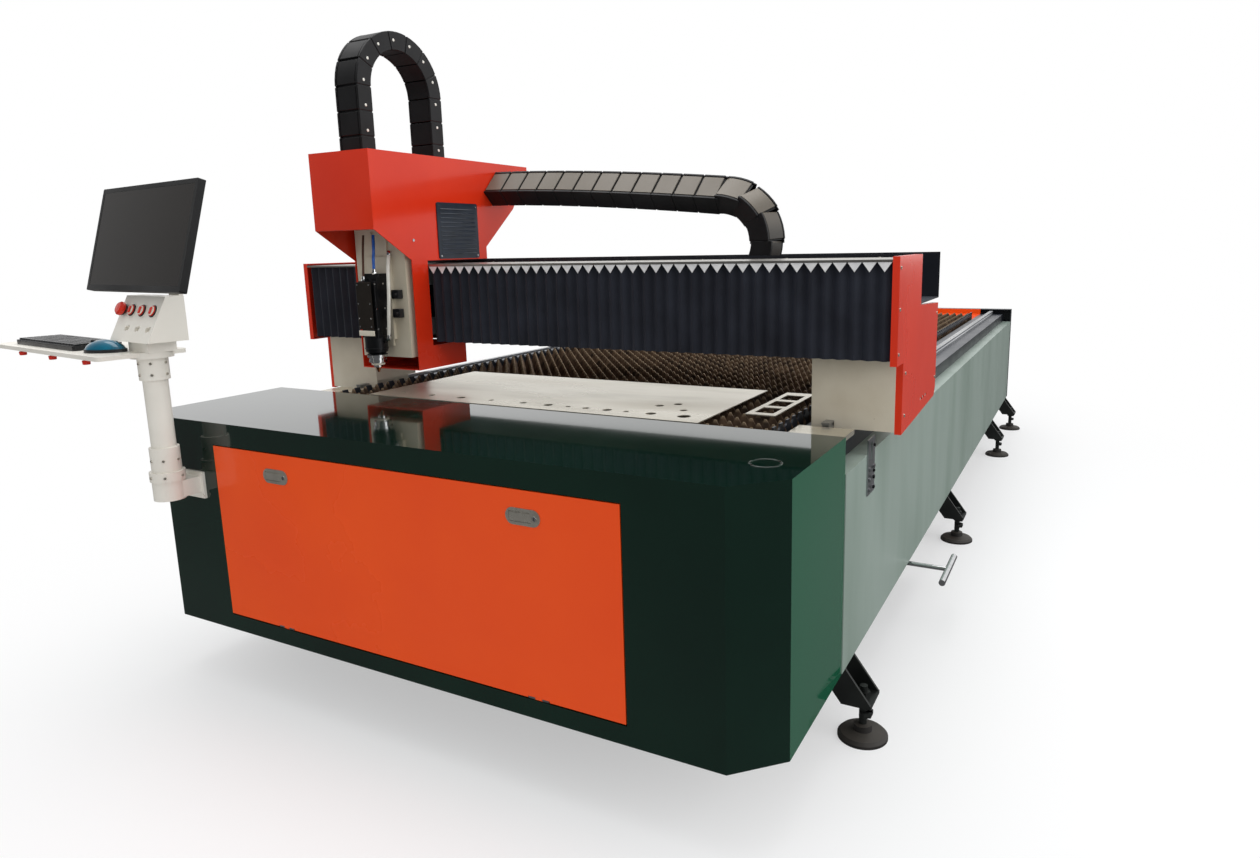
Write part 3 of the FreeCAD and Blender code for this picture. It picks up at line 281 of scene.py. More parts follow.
def specks(material, spacing, share):
    """A mask of small uneven spots, `spacing` mm apart, over a share of the surface."""
    place = part_of(material, "TexCoord").outputs["Object"]
    noise = add_node(material, "TexNoise", {"Scale": 1000 / spacing, "Detail": 8.0, "Roughness": 0.7},
                     {"Vector": place})
    edge = 0.72 - share
    return add_node(material, "MapRange", {"From Min": edge, "From Max": edge + 0.05},
                    {"Value": noise.outputs["Fac"]}).outputs["Result"]


def facing_up(material, low, high):
    """A mask that is one on faces that look upwards, where dust settles; on the cross chain's lids it also
    lays painted top light.
    """
    normal = add_node(material, "NewGeometry").outputs["Normal"]
    split = add_node(material, "SeparateXYZ", links={"Vector": normal})
    return add_node(material, "MapRange", {"From Min": low, "From Max": high},
                    {"Value": split.outputs["Z"]}).outputs["Result"]


def painted_side_light_mask(material):
    """A mask that is one on faces that look straight to the left or right, used to lay painted side light on
    the hood's flanks.
    """
    normal = add_node(material, "NewGeometry").outputs["True Normal"]
    split = add_node(material, "SeparateXYZ", links={"Vector": normal})
    size = add_node(material, "Math", links={0: split.outputs["X"]}, operation="ABSOLUTE")
    return add_node(material, "Math", {1: 0.95}, {0: size.outputs[0]},
                    operation="GREATER_THAN").outputs[0]


def above(material, low, high):
    """A mask that rises from zero to one between two heights over the floor in mm."""
    place = part_of(material, "TexCoord").outputs["Object"]
    split = add_node(material, "SeparateXYZ", links={"Vector": place})
    return add_node(material, "MapRange", {"From Min": low * MM, "From Max": high * MM},
                    {"Value": split.outputs["Z"]}).outputs["Result"]


def add_weave(material):
    """Adds the square weave of coated cloth to the bump."""
    place = part_of(material, "TexCoord").outputs["Object"]
    thread = 1000 / 1.5 / math.tau * 2
    warp = add_node(material, "TexWave", {"Scale": thread, "Distortion": 0.4}, {"Vector": place},
                    bands_direction="X")
    weft = add_node(material, "TexWave", {"Scale": thread, "Distortion": 0.4}, {"Vector": place},
                    bands_direction="Z")
    both = add_node(material, "Math", links={0: warp.outputs["Fac"], 1: weft.outputs["Fac"]},
                    operation="ADD")
    weave = add_node(material, "Bump", {"Strength": 0.35, "Distance": 0.0003},
                     {"Height": both.outputs[0],
                      "Normal": part_of(material, "Bump").outputs["Normal"]})
    shader = part_of(material, "BsdfPrincipled")
    material.node_tree.links.new(weave.outputs["Normal"], shader.inputs["Normal"])


def finish(*sizes, marks=(), **shader_values):
    """A finish: start_material's values in order, the marks laid over it and its shader's values."""
    return sizes, marks, shader_values


FINISHES = {
    # Sprayed gloss enamel on sheet steel: near-black green. The livelier green on the two flanks is painted
    # side light, laid on by a mask of faces that look left or right.
    "hood": finish("green_gloss_enamel", ("#071C15", "#0A241B"), 420, (0.05, 0.09), 9, 0.012,
                   marks=((painted_side_light_mask, (), "#1B5A40"),),
                   **{"Coat Weight": 0.45, "Coat Roughness": 0.03, "Specular IOR Level": 0.3}),
    # Stoved orange enamel: even, strong colour with a soft gloss and faint orange peel.
    "orange": finish("stoved_orange_enamel", ("#F04C0E", "#F6540F"), 380, (0.22, 0.32), 6, 0.02,
                     **{"Coat Weight": 0.3, "Coat Roughness": 0.1, "Specular IOR Level": 0.3}),
    # Stoved red-orange enamel: a warm red with a soft gloss, rubbed pale in a few places.
    "red": finish("stoved_red_enamel", ("#DA3014", "#E3381A"), 300, (0.2, 0.34), 6, 0.02,
                  marks=((specks, (38, 0.0), "#F08A70"),),
                  **{"Coat Weight": 0.3, "Coat Roughness": 0.12, "Specular IOR Level": 0.3}),
    # Satin machine paint: grey-green with long upright roller drifts.
    "panel": finish("satin_grey_green_paint", ("#84958B", "#93A29A", "#8A9A91"), 260, (0.3, 0.42), 4, 0.02,
                    (1, 1, 0.16)),
    # Satin navy-black paint on welded sections: dark with light dust on level faces.
    "navy": finish("navy_satin_paint", ("#15181F", "#1E222B"), 160, (0.28, 0.46), 5, 0.03,
                   marks=((facing_up, (0.6, 1.6), "#5A5E66"),)),
    # Bright zinc-plated steel: cool grey with fine lengthwise drawing marks.
    "zinc": finish("zinc_plated_steel", ("#9A9CA0", "#B8BABD"), 60, (0.24, 0.42), 1.2, 0.02, (1, 0.08, 1),
                   Metallic=1.0),
    # Mild steel slats: rust-brown mill scale, with tips burnt to bright bare metal.
    "slat": finish("scorched_mild_steel", ("#33271F", "#5E4938", "#836B54"), 45, (0.5, 0.8), 3, 0.3,
                   Metallic=0.3, marks=((above, (838, 856), "#C4AE8E"), (specks, (14, 0.06), "#C9B69A"),)),
    # Fresh-cut mild steel sheet: cream-silver skin with soft smears and a few dark heat marks.
    "sheet": finish("mill_finish_sheet", ("#C9C2B0", "#E9E3D3", "#DAD2BF"), 210, (0.16, 0.36), 1.6, 0.015,
                    (0.3, 1, 1), Metallic=0.72, marks=((specks, (95, 0.03), "#9B927F"),)),
    # Rubbed-down cream primer on castings: matt, warm grey, with small rust pits.
    "cream": finish("cream_cast_primer", ("#CBC1AC", "#DBD3C0"), 130, (0.42, 0.6), 3, 0.06,
                    marks=((specks, (26, 0.015), "#6A5138"),)),
    # White powder coat: warm white with a fine dimpled skin.
    "white": finish("white_powder_coat", ("#E4E0D6", "#EDEAE1"), 150, (0.3, 0.42), 1.4, 0.05),
    # Die-cast satin nickel: soft silver-cream, smooth and slightly blurred.
    "alloy": finish("satin_nickel_casting", ("#BDB9AE", "#D4D0C5"), 40, (0.24, 0.36), 1, 0.02,
                    Metallic=0.8),
    # Grey primer on folded sheet: flat, dusty mid grey.
    "drawer": finish("grey_sheet_primer", ("#4A4D50", "#585B5E"), 120, (0.45, 0.6), 3, 0.05),
    # Moulded ABS: near-black, slightly shiny where fingers polish it.
    "abs": finish("moulded_black_abs", ("#191A1C", "#222326"), 30, (0.3, 0.45), 0.8, 0.03),
    # Gloss teal ABS: a clear coat over saturated blue-green.
    "teal": finish("gloss_teal_abs", ("#0A5A74", "#0E6C88"), 60, (0.1, 0.16), 2, 0.01,
                   **{"Coat Weight": 0.8, "Coat Roughness": 0.05}),
    # Moulded signal-red plastic: bright and glossy with a soft highlight.
    "signal": finish("signal_red_plastic", ("#C8281A", "#D93322"), 20, (0.16, 0.26), 1.5, 0.01),
    # Moulded cream plastic of the button plates.
    "plate": finish("cream_button_plastic", ("#E6DECB", "#EEE7D6"), 20, (0.25, 0.35), 1.5, 0.01),
    # Spark-textured black plastic: a fine even grain that breaks up the highlight.
    "texture": finish("textured_black_plastic", ("#0E0F10", "#141517"), 90, (0.42, 0.55), 0.9, 0.06,
                      **{"Specular IOR Level": 0.3}),
    # Anti-glare screen: brown-black, smooth, with a wide soft reflection.
    "screen": finish("anti_glare_screen", ("#17130F", "#1B1612"), 300, (0.18, 0.24), 1.0, 0.004,
                     **{"Specular IOR Level": 0.1}),
    # Mill-bright aluminium sheet: light grey, brushed along the beam.
    "bright": finish("mill_bright_aluminium", ("#A3A19C", "#BCB9B3"), 90, (0.26, 0.44), 1.2, 0.02,
                     (0.06, 1, 1), Metallic=0.9),
    # Rubber-coated nylon cloth: blue-black, with a fine square weave and a dull sheen.
    "cloth": finish("coated_nylon_cloth", ("#1F222D", "#292D39"), 110, (0.5, 0.66), 2.4, 0.06,
                    **{"Sheen Weight": 0.08, "Sheen Roughness": 0.4, "Specular IOR Level": 0.3}),
    # Silver-backed gusset cloth: bright, slightly wrinkled.
    "gusset": finish("silver_gusset_cloth", ("#D8D8DA", "#F0F0F0"), 30, (0.3, 0.5), 3, 0.15),
    # Glass-filled nylon links: near-black with a faint grain.
    "chain": finish("glass_filled_nylon", ("#0D0D0F", "#151518"), 60, (0.36, 0.55), 1.6, 0.06,
                    **{"Specular IOR Level": 0.35}),
    # The same nylon on the lids, dulled to brown-grey by settled metal dust. Faces that look up are lighter
    # still: settled dust, and painted top light.
    "lid": finish("dusty_nylon_lid", ("#2B2926", "#3A3631"), 70, (0.34, 0.5), 2, 0.08, (1, 0.3, 1),
                  marks=((facing_up, (0.05, 1.3), "#857B6C"),)),
    # Blue-black satin plate with the dull shine of pressed sheet.
    "louvre": finish("louvre_blue_black", ("#1A222E", "#232D3B"), 40, (0.3, 0.44), 2, 0.03),
    # Hard-anodised aluminium: charcoal, satin, with a metal depth.
    "head": finish("hard_anodised_black", ("#17181A", "#26272A"), 50, (0.3, 0.42), 0.8, 0.02, Metallic=0.6),
    # Front cover of the head, anodised a warm dark brown.
    "cover": finish("brown_anodised_cover", ("#26211C", "#332C26"), 50, (0.34, 0.46), 0.8, 0.02,
                    Metallic=0.5),
    # Turned and polished chrome: mirror-bright with fine lathe rings.
    "chrome": finish("polished_chrome", ("#C4C6C8", "#DDDEDF"), 20, (0.06, 0.16), 0.6, 0.01, (1, 1, 4),
                     Metallic=1.0),
    # Turned copper: warm pink-brown and slightly tarnished.
    "copper": finish("turned_copper", ("#9A5A3A", "#B87350"), 8, (0.2, 0.35), 0.6, 0.01, Metallic=1.0),
    # Extruded polyurethane: milky white with a soft shine.
    "milk": finish("milky_polyurethane", ("#DEDCD2", "#EBE9E1"), 30, (0.2, 0.3), 2, 0.01),
    # Extruded blue polyurethane air line.
    "blue": finish("blue_polyurethane", ("#0F4FA8", "#1A63C4"), 20, (0.16, 0.26), 2, 0.01),
    # Brown rubber cable jacket: matt, slightly dusty.
    "jacket": finish("brown_rubber_jacket", ("#4A2A1C", "#5E3826"), 20, (0.45, 0.6), 1, 0.05),
    # Moulded rubber and cast pads: charcoal, matt, scuffed grey on top.
    "rubber": finish("moulded_pad_rubber", ("#1D1B19", "#2B2826"), 60, (0.5, 0.7), 1.5, 0.08,
                     marks=((facing_up, (0.5, 1.6), "#5A554E"),)),
    # Blackened bracket plate, rubbed to bare grey in small spots.
    "bracket": finish("blackened_bracket_steel", ("#1B1E1D", "#2A2D2B"), 70, (0.3, 0.45), 3, 0.05,
                      Metallic=0.35, marks=((specks, (34, 0.02), "#8E8E88"),)),
}
made_materials = {}


def finish_of(name):
    """A material by its short name, made the first time that it is asked for."""
    if name not in made_materials:
        sizes, marks, shader_values = FINISHES[name]
        material = start_material(*sizes, **shader_values)
        for mask, limits, code in marks:
            overlay(material, mask(material, *limits), code)
        if name == "cloth":
            add_weave(material)
        made_materials[name] = material
    return made_materials[name]


NODE_FINISH = {
    "base_frame": "navy", "rail_beams": "navy", "rear_frame": "navy", "slat_combs": "navy",
    "foot_brackets": "bracket", "limit_bracket": "zinc", "side_panels": "panel", "rear_baffle": "orange",
    "access_panel": "orange", "front_hood": "hood", "panel_hinges": "zinc", "foot_studs": "bracket",
    "y_guides": "zinc", "x_guides": "zinc", "drawer_handle": "chrome", "slats": "slat",
    "cut_sheets": "sheet",
    "guide_end_covers": "sheet", "foot_blocks": "cream", "z_housing": "cream", "height_plate": "cream",
    "foot_pads": "rubber", "arm_bracket": "white", "arm_sleeve": "white", "arm_tube": "white",
    "arm_collar": "white", "keyboard_tray": "white", "console_box": "white", "monitor_bracket": "white",
    "latch_bezels": "alloy", "left_latch_paddle": "alloy", "right_latch_paddle": "alloy",
    "slag_drawer": "drawer", "carriage_plate": "drawer", "keyboard": "abs", "mouse": "teal",
    "stop_button": "signal", "push_button_1": "signal", "push_button_2": "signal", "push_button_3": "signal",
    "monitor_housing": "texture", "monitor_screen": "screen", "end_covers": "red", "column_cover": "red",
    "head_cover": "red", "gantry_beam": "navy", "y_motors": "head", "beam_top_cover": "bright",
    "chain_tray": "navy", "vent_grille": "louvre", "laser_head": "head", "nozzle_stack": "chrome",
}


# ---- sizes, light and lens that a user would change -----------------------------------------
class ChainSettings(bpy.types.PropertyGroup):
    """Sizes of the energy chains."""

    pitch: bpy.props.FloatProperty(name="Link pitch", description="Length of one link", default=0.08,
                                   unit="LENGTH")
    roll: bpy.props.FloatProperty(name="Roll", description="How far the cross chain leans forward",
                                  default=math.radians(46), subtype="ANGLE")
    side_wall: bpy.props.FloatProperty(name="Side wall", description="Thickness of a link's side plate",
                                       default=0.009, unit="LENGTH")


class BellowsSettings(bpy.types.PropertyGroup):
    """Sizes of the folded way covers."""

    pitch: bpy.props.FloatProperty(name="Fold pitch", description="Distance from one fold to the next",
                                   default=0.04, unit="LENGTH")
    gusset: bpy.props.FloatProperty(name="Gusset drop", description="Height of each fold's silver corner",
                                    default=0.026, unit="LENGTH")
    cloth: bpy.props.FloatProperty(name="Cloth", description="Thickness of the coated cloth", default=0.0012,
                                   unit="LENGTH")


class StageSettings(bpy.types.PropertyGroup):
    """Floor, light and camera."""

    key_power: bpy.props.FloatProperty(name="Key light", description="Watts of the large soft light",
                                       default=150.0)
    side_power: bpy.props.FloatProperty(name="Side light", description="Watts of the soft light on the right",
                                        default=70.0)
    sky: bpy.props.FloatProperty(name="Sky", description="Brightness of the plain surroundings", default=1.0)
    # How dark the floor is painted where gloss faces reflect it: a painted dark reflection.
    reflected_floor_darkening: bpy.props.FloatProperty(name="Dimming", description="How much gloss paint darkens the floor",
                                     default=0.85)
    fill: bpy.props.FloatProperty(name="Fill", description="Surroundings' light on matt faces",
                                  default=0.72)
    lens: bpy.props.FloatProperty(name="Lens", description="Focal length on a 36 mm sensor, in mm",
                                  default=23.65)


def chain_settings():
    """The energy chains' settings."""
    return bpy.context.scene.laser_chain


def bellows_settings():
    """The folded covers' settings."""
    return bpy.context.scene.laser_bellows


def stage_settings():
    """The stage's settings."""
    return bpy.context.scene.laser_stage


# ---- CAD finishes -----------------------------------------------------------------------------
class LASER_OT_finishes(bpy.types.Operator):
    """Give every construction part its real finish"""

    bl_idname = "laser.finishes"
    bl_label = "Finish the construction parts"

    def execute(self, context):
        for node, kind in NODE_FINISH.items():
            made = frame["nodes"][node]
            made.data.materials.clear()
            made.data.materials.append(finish_of(kind))
        return {"FINISHED"}


# ---- front hood ---------------------------------------------------------------------------
class LASER_OT_hood_trim(bpy.types.Operator):
    """Make the hood's plug ring and the key slots of the two latches"""

    bl_idname = "laser.hood_trim"
    bl_label = "Hood trim"

    def execute(self, context):
        bm = bmesh.new()
        add_ring(bm, at(955, 205, 861), UP, 37, 1.3)
        add_ring(bm, at(955, 205, 861), UP, 33.5, 0.7)
        piece(bm, "hood_plug_ring", finish_of("hood"), "bed")
        bm = bmesh.new()
        for side in (-430, 430):
            lock = at(side + 34, -2.4, 726)
            add_rod(bm, lock, lock - REARWARD * 0.8 * MM, 6.6, 6.0, edge=0.3)
        piece(bm, "latch_lock_faces", finish_of("chrome"), "front_panel")
        bm = bmesh.new()
        for side in (-430, 430):
            lock = basis(at(side + 34, -3.3, 726), ACROSS, REARWARD, UP)
            add_block(bm, (-1, -0.3, -4.2), (1, 0.3, 4.2), 0.2, lock)
        piece(bm, "latch_key_slots", finish_of("abs"), "front_panel")
        return {"FINISHED"}


# ---- bed ------------------------------------------------------------------------------------
class LASER_OT_bed_hardware(bpy.types.Operator):
    """Make the rail screws, lock nuts and bracket bolts of the bed"""

    bl_idname = "laser.bed_hardware"
    bl_label = "Bed hardware"

    def execute(self, context):
        low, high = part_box("y_guides")
        middle = (low.x + high.x) / 2
        reach = high.x - middle - 0.012
        bm = bmesh.new()
        for side in (-1, 1):
            for index in range(RAIL_SCREWS):
                y = low.y + 0.06 + index * RAIL_SCREW_PITCH
                add_screw(bm, Vector((middle + side * reach, y, high.z)), UP, 5.5, 0.8)
        piece(bm, "guide_screws", finish_of("alloy"), "bed")
        self.nuts()
        self.limit_bolts()
        return {"FINISHED"}

    def nuts(self):
        """Two hexagon nuts lock each levelling stud to its bracket."""
        studs = frame["nodes"]["foot_studs"].data
        rows = sorted({round(v.co.y, 1) for v in studs.vertices})
        low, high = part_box("foot_studs")
        bm = bmesh.new()
        for x in (low.x + 11 * MM, high.x - 11 * MM):
            for y in rows:
                stud = [v.co for v in studs.vertices if abs(v.co.x - x) < 0.02 and abs(v.co.y - y) < 0.06]
                centre = Vector((x, (min(p.y for p in stud) + max(p.y for p in stud)) / 2, 0))
                for level, tall in LOCK_NUTS:
                    foot = centre + UP * level * MM
                    add_rod(bm, foot, foot + UP * tall * MM, 19, segments=6, edge=1.0)
        bmesh.ops.remove_doubles(bm, verts=bm.verts, dist=1e-5)
        piece(bm, "foot_lock_nuts", finish_of("bracket"), "bed")

    def limit_bolts(self):
        """Cap screws on the limit bracket beside the hood."""
        low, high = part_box("limit_bracket")
        bm = bmesh.new()
        for share in (0.12, 0.3, 0.42, 0.88):
            place = Vector((high.x, (low.y + high.y) / 2, low.z + (high.z - low.z) * share))
            add_screw(bm, place, ACROSS, 5, 5)
        piece(bm, "limit_bracket_screws", finish_of("head"), "bed")


# ---- folded covers of the beam ------------------------------------------------------------
def add_folds(bm, x0, x1, y_front, y_back, z0, z1, pitch):
    """Folded cloth drawn as one zigzag of edges, raised, with every fold rounded."""
    count = max(2, round((x1 - x0) / pitch)) * 2
    last = bm.verts.new(at(x0, y_back, z0))
    line = [last]
    for index in range(1, count + 1):
        made = bmesh.ops.extrude_vert_indiv(bm, verts=[last])
        last = made["verts"][0]
        last.co = at(x0 + (x1 - x0) * index / count, y_front if index % 2 else y_back, z0)
        line.append(last)
    raised = bmesh.ops.extrude_edge_only(bm, edges=list(bm.edges))["geom"]
    bmesh.ops.translate(bm, vec=UP * (z1 - z0) * MM,
                        verts=[g for g in raised if isinstance(g, bmesh.types.BMVert)])
    upright = [e for e in bm.edges if abs((e.verts[1].co - e.verts[0].co).normalized().z) > 0.9]
    bmesh.ops.bevel(bm, geom=upright, offset=4.5 * MM, segments=3, profile=0.5, affect="EDGES", material=-1)
    bmesh.ops.solidify(bm, geom=bm.faces[:], thickness=bellows_settings().cloth)


def add_gussets(bm, x0, x1, y, z, pitch, drop):
    """A row of small silver triangles: the turned corner of each fold under the top cover."""
    count = max(2, round((x1 - x0) / pitch))
    step = (x1 - x0) / count
    for index in range(count):
        left = x0 + step * index
        corners = [at(left + 1, y, z), at(left + step - 1, y, z), at(left + step / 2, y + 0.6, z - drop)]
        face = bm.faces.new([bm.verts.new(corner) for corner in corners])
        raised = bmesh.ops.extrude_face_region(bm, geom=[face])["geom"]
        bmesh.ops.translate(bm, vec=REARWARD * 0.8 * MM,
                            verts=[g for g in raised if isinstance(g, bmesh.types.BMVert)])


class LASER_OT_bellows(bpy.types.Operator):
    """Make the two folded cloth covers of the cross beam and the right one's silver gussets"""

    bl_idname = "laser.bellows"
    bl_label = "Folded covers"

    def execute(self, context):
        settings = bellows_settings()
        pitch, drop = settings.pitch / MM, settings.gusset / MM
        for side in ("right", "left"):
            low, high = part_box(side + "_bellows")
            origin = at(0, 0, 0)
            x0, x1 = (low.x - origin.x) / MM, (high.x - origin.x) / MM
            y0, y1 = (low.y - origin.y) / MM, (high.y - origin.y) / MM
            bm = bmesh.new()
            add_folds(bm, x0 + 0.5, x1 - 0.5, y0 + 2.5, y1 - 4, low.z / MM + 0.6, high.z / MM - 1, pitch)
            folds = piece(bm, side + "_folds", finish_of("cloth"), None)
            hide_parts(side + "_bellows")
            if side == "left":
                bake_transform(folds)
                continue
            bm = bmesh.new()
            add_gussets(bm, x0 + 1, x1 - 1, y0 + 0.4, high.z / MM - 1, pitch, drop)
            gussets = piece(bm, side + "_fold_gussets", finish_of("gusset"), None,
                            smooth=False)
            for made in (folds, gussets):
                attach(made, "gantry")
                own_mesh(made)
            bm = bmesh.new()
            add_block(bm, (x0 - 2, y0 + 30, low.z / MM + 4), (x0 + TAIL_LENGTH, y0 + 33, high.z / MM - 4), 1,
                      Matrix.Translation(at(0, 0, 0)))
            piece(bm, "fold_tail", finish_of("cloth"), "carriage")
        return {"FINISHED"}


class LASER_OT_beam_hardware(bpy.types.Operator):
    """Make the screws of the end covers and the top cover"""

    bl_idname = "laser.beam_hardware"
    bl_label = "Beam hardware"

    def execute(self, context):
        low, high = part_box("end_covers")
        bm = bmesh.new()
        front = low.y + 0.014
        places = [(front, high.z - 0.03), (front, high.z - 0.14), (front, high.z - 0.26),
                  (front + 0.1, low.z + 0.17), (front + 0.1, low.z + 0.05),
                  (high.y - 0.02, low.z + 0.3), (high.y - 0.02, low.z + 0.09)]
        for y, z in places:
            add_screw(bm, Vector((high.x, y, z)), ACROSS, 5, 2.2)
            add_screw(bm, Vector((low.x, y, z)), -ACROSS, 5, 2.2)
        piece(bm, "end_cover_screws", finish_of("alloy"), "gantry")
        low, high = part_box("beam_top_cover")
        bm = bmesh.new()
        gap = (high.x - low.x - 0.2) / (TOP_SCREWS - 1)
        for index in range(TOP_SCREWS):
            x = low.x + 0.1 + index * gap
            add_screw(bm, Vector((x, high.y - 0.03, high.z)), UP, 5, 1.6)
        piece(bm, "top_cover_screws", finish_of("alloy"), "gantry")
        return {"FINISHED"}


# ---- energy chains ----------------------------------------------------------------------------
def add_link(shells, lids, pins, place, pitch, width, height, wall, bend):
    """One chain link, in its own directions: along X, across Y, outer side +Z.

    Shells takes the side plates and floor, lids the outer lid and pins the rivets in the sides.
    """
    half, tall = width / 2, height / 2
    for side in (-1, 1):
        y0, y1 = sorted((side * half, side * (half - wall)))
        add_block(shells, (-0.49 * pitch, y0, -tall), (0.46 * pitch, y1, tall), 1.6, place, bend)
        y0, y1 = sorted((side * (half - 2), side * (half - wall + 1)))
        add_block(shells, (0.4 * pitch, y0, -tall + 2), (0.6 * pitch, y1, tall - 2), 1, place, bend)
        if pins:
            pin = place @ (Vector((-0.28 * pitch, side * (half - 1), 0)) * MM)
            out = (place.to_3x3() @ Vector((0, side, 0))).normalized()
            add_rod(pins, pin, pin + out * 1.8 * MM, 5.5, 4.5, segments=12, edge=0.5)
    inside = half - wall
    add_block(shells, (-0.49 * pitch, -inside, -tall + 1), (0.46 * pitch, inside, -tall + 6), 1, place, bend)
    add_block(shells, (-0.5 * pitch, -inside, tall - 12), (0.5 * pitch, inside, tall - 6), 1, place, bend)
    lid = inside - 2
    add_block(lids, (-0.47 * pitch, -lid, tall - 7), (0.44 * pitch, lid, tall - 0.5), 1.6, place, bend)


def chain_pieces(name, places, body, width, height, with_pins):
    """Links at each place as a shell piece, a lid piece and, where asked, a rivet piece."""
    settings = chain_settings()
    shells, lids = bmesh.new(), bmesh.new()
    pins = bmesh.new() if with_pins else None
    for place, pitch, bend in places:
        add_link(shells, lids, pins, place, pitch, width, height, settings.side_wall / MM, bend)
    lid_finish = finish_of("chain" if name == "height_chain" else "lid")
    made = [piece(shells, name + "_links", finish_of("chain"), body),
            piece(lids, name + "_lids", lid_finish, body)]
    if pins:
        made.append(piece(pins, name + "_rivets", finish_of("milk"), body))
    return made


def cross_chain_shape():
    """The cross chain's size: its ends, the bend's centre and radius, and its middle, from the frame."""
    run_low, run_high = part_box("x_chain_run")
    bend_low, bend_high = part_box("x_chain_bend")
    height = 72 * MM
    radius = (bend_high.z - bend_low.z - height) / 2
    centre = Vector((bend_low.x, (bend_low.y + bend_high.y) / 2, (bend_low.z + bend_high.z) / 2))
    return run_low, run_high, centre, radius, height, (bend_high.y - bend_low.y)


def sag(share):
    """How much of its drop the upper run has lost at a share of its length."""
    return share ** 1.5


def link_on(place, along, over, roll):
    """A link's matrix at a place on the line, rolled about the line by an angle."""
    over = Matrix.Rotation(roll, 3, along) @ over
    return basis(place, along, over.cross(along), over)


class LASER_OT_cross_chain(bpy.types.Operator):
    """Make the energy chain that follows the carriage: upper run, bend and lower run"""

    bl_idname = "laser.cross_chain"
    bl_label = "Cross energy chain"

    def execute(self, context):
        run_low, run_high, centre, radius, height, width = cross_chain_shape()
        settings = chain_settings()
        length = run_high.x - run_low.x
        drop = run_high.z - height / 2 - centre.z - radius
        count = round(length / settings.pitch)
        step = length / count
        places = []
        for index in range(count):
            share = (index + 0.5) / count
            slope = drop * (sag(share + 0.5 / count) - sag(share - 0.5 / count)) / step
            along = Vector((1, 0, -slope)).normalized()
            here = Vector((run_low.x + step * (index + 0.5), centre.y,
                           centre.z + radius + drop * (1 - sag(share))))
            places.append((link_on(here, along, Vector((-along.z, 0, along.x)), settings.roll),
                           step / along.x / MM, 0.0))
        for made in chain_pieces("cross_chain", places, "carriage", width / MM, height / MM, False):
            if made.name.endswith("links"):
                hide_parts("x_chain_run")
            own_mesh(made)
        self.bend(centre, radius, width, height)
        self.lower_run(centre, radius, width, height)
        return {"FINISHED"}

    def bend(self, centre, radius, width, height):
        """Links round the half circle, and a short sleeve that stays inside the upper run."""
        settings = chain_settings()
        count = round(math.pi * radius / settings.pitch)
        pitch = math.pi * radius / count / MM
        places = []
        for index in range(count):
            share = (index + 0.5) / count
            angle = math.pi / 2 - math.pi * share
            over = Vector((math.cos(angle), 0, math.sin(angle)))
            along = Vector((over.z, 0, -over.x))
            roll = settings.roll * max(0.0, 1 - 2 * share) ** 0.8
            places.append((link_on(centre + over * radius, along, over, roll), pitch, radius))
        made = chain_pieces("cross_chain_bend", places, "chain_loop", width / MM, height / MM, False)
        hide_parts("x_chain_bend")
        bm = bmesh.new()
        inset = SLEEVE_INSET * MM
        sleeve = link_on(centre + Vector((0, 0, radius)), ACROSS, UP, settings.roll)
        half, tall = (width / 2 - inset) / MM, (height / 2 - inset) / MM
        add_block(bm, (-SLEEVE_LENGTH, -half, -tall), (6, half, tall), 2, sleeve)
        piece(bm, "cross_chain_sleeve", finish_of("chain"), "chain_loop")

    def lower_run(self, centre, radius, width, height):
        """Links lying in the channel, from the bend back to their anchor plate."""
        anchor = at(120, 0, 0).x
        count = round((centre.x - anchor) / chain_settings().pitch)
        step = (centre.x - anchor) / count
        places = []
        for index in range(count):
            here = Vector((centre.x - step * (index + 0.5), centre.y, centre.z - radius))
            places.append((basis(here, -ACROSS, REARWARD, -UP), step / MM, 0.0))
        for made in chain_pieces("cross_chain_lower", places, None, width / MM, height / MM, False):
            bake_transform(made)


class LASER_OT_height_chain(bpy.types.Operator):
    """Make the energy chain that loops over from the column to the cutting head"""

    bl_idname = "laser.height_chain"
    bl_label = "Height energy chain"

    def execute(self, context):
        low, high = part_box("z_chain")
        pitch = chain_settings().pitch
        width = (high.x - low.x) / MM
        height = 60.0
        outer = (high.y - low.y) / 2
        radius = outer - height * MM / 2
        centre = Vector(((low.x + high.x) / 2, (low.y + high.y) / 2, high.z - outer))
        straight = centre.z - low.z
        rows = round(straight / pitch)
        step = straight / rows
        turns = round(math.pi * radius / pitch)
        places = []
        for index in range(rows):
            z = low.z + step * (index + 0.5)
            front = Vector((centre.x, centre.y - radius, z))
            back = Vector((centre.x, centre.y + radius, z))
            places.append((basis(front, UP, -ACROSS, -REARWARD), step / MM, 0.0))
            places.append((basis(back, -UP, -ACROSS, REARWARD), step / MM, 0.0))
        for index in range(turns):
            angle = math.pi * (index + 0.5) / turns
            over = Vector((0, -math.cos(angle), math.sin(angle)))
            along = Vector((0, over.z, -over.y))
            places.append((basis(centre + over * radius, along, over.cross(along), over),
                           math.pi * radius / turns / MM, radius))
        made = chain_pieces("height_chain", places, None, width, height, True)
        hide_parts("z_chain")
        for item in made:
            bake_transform(item)
        return {"FINISHED"}


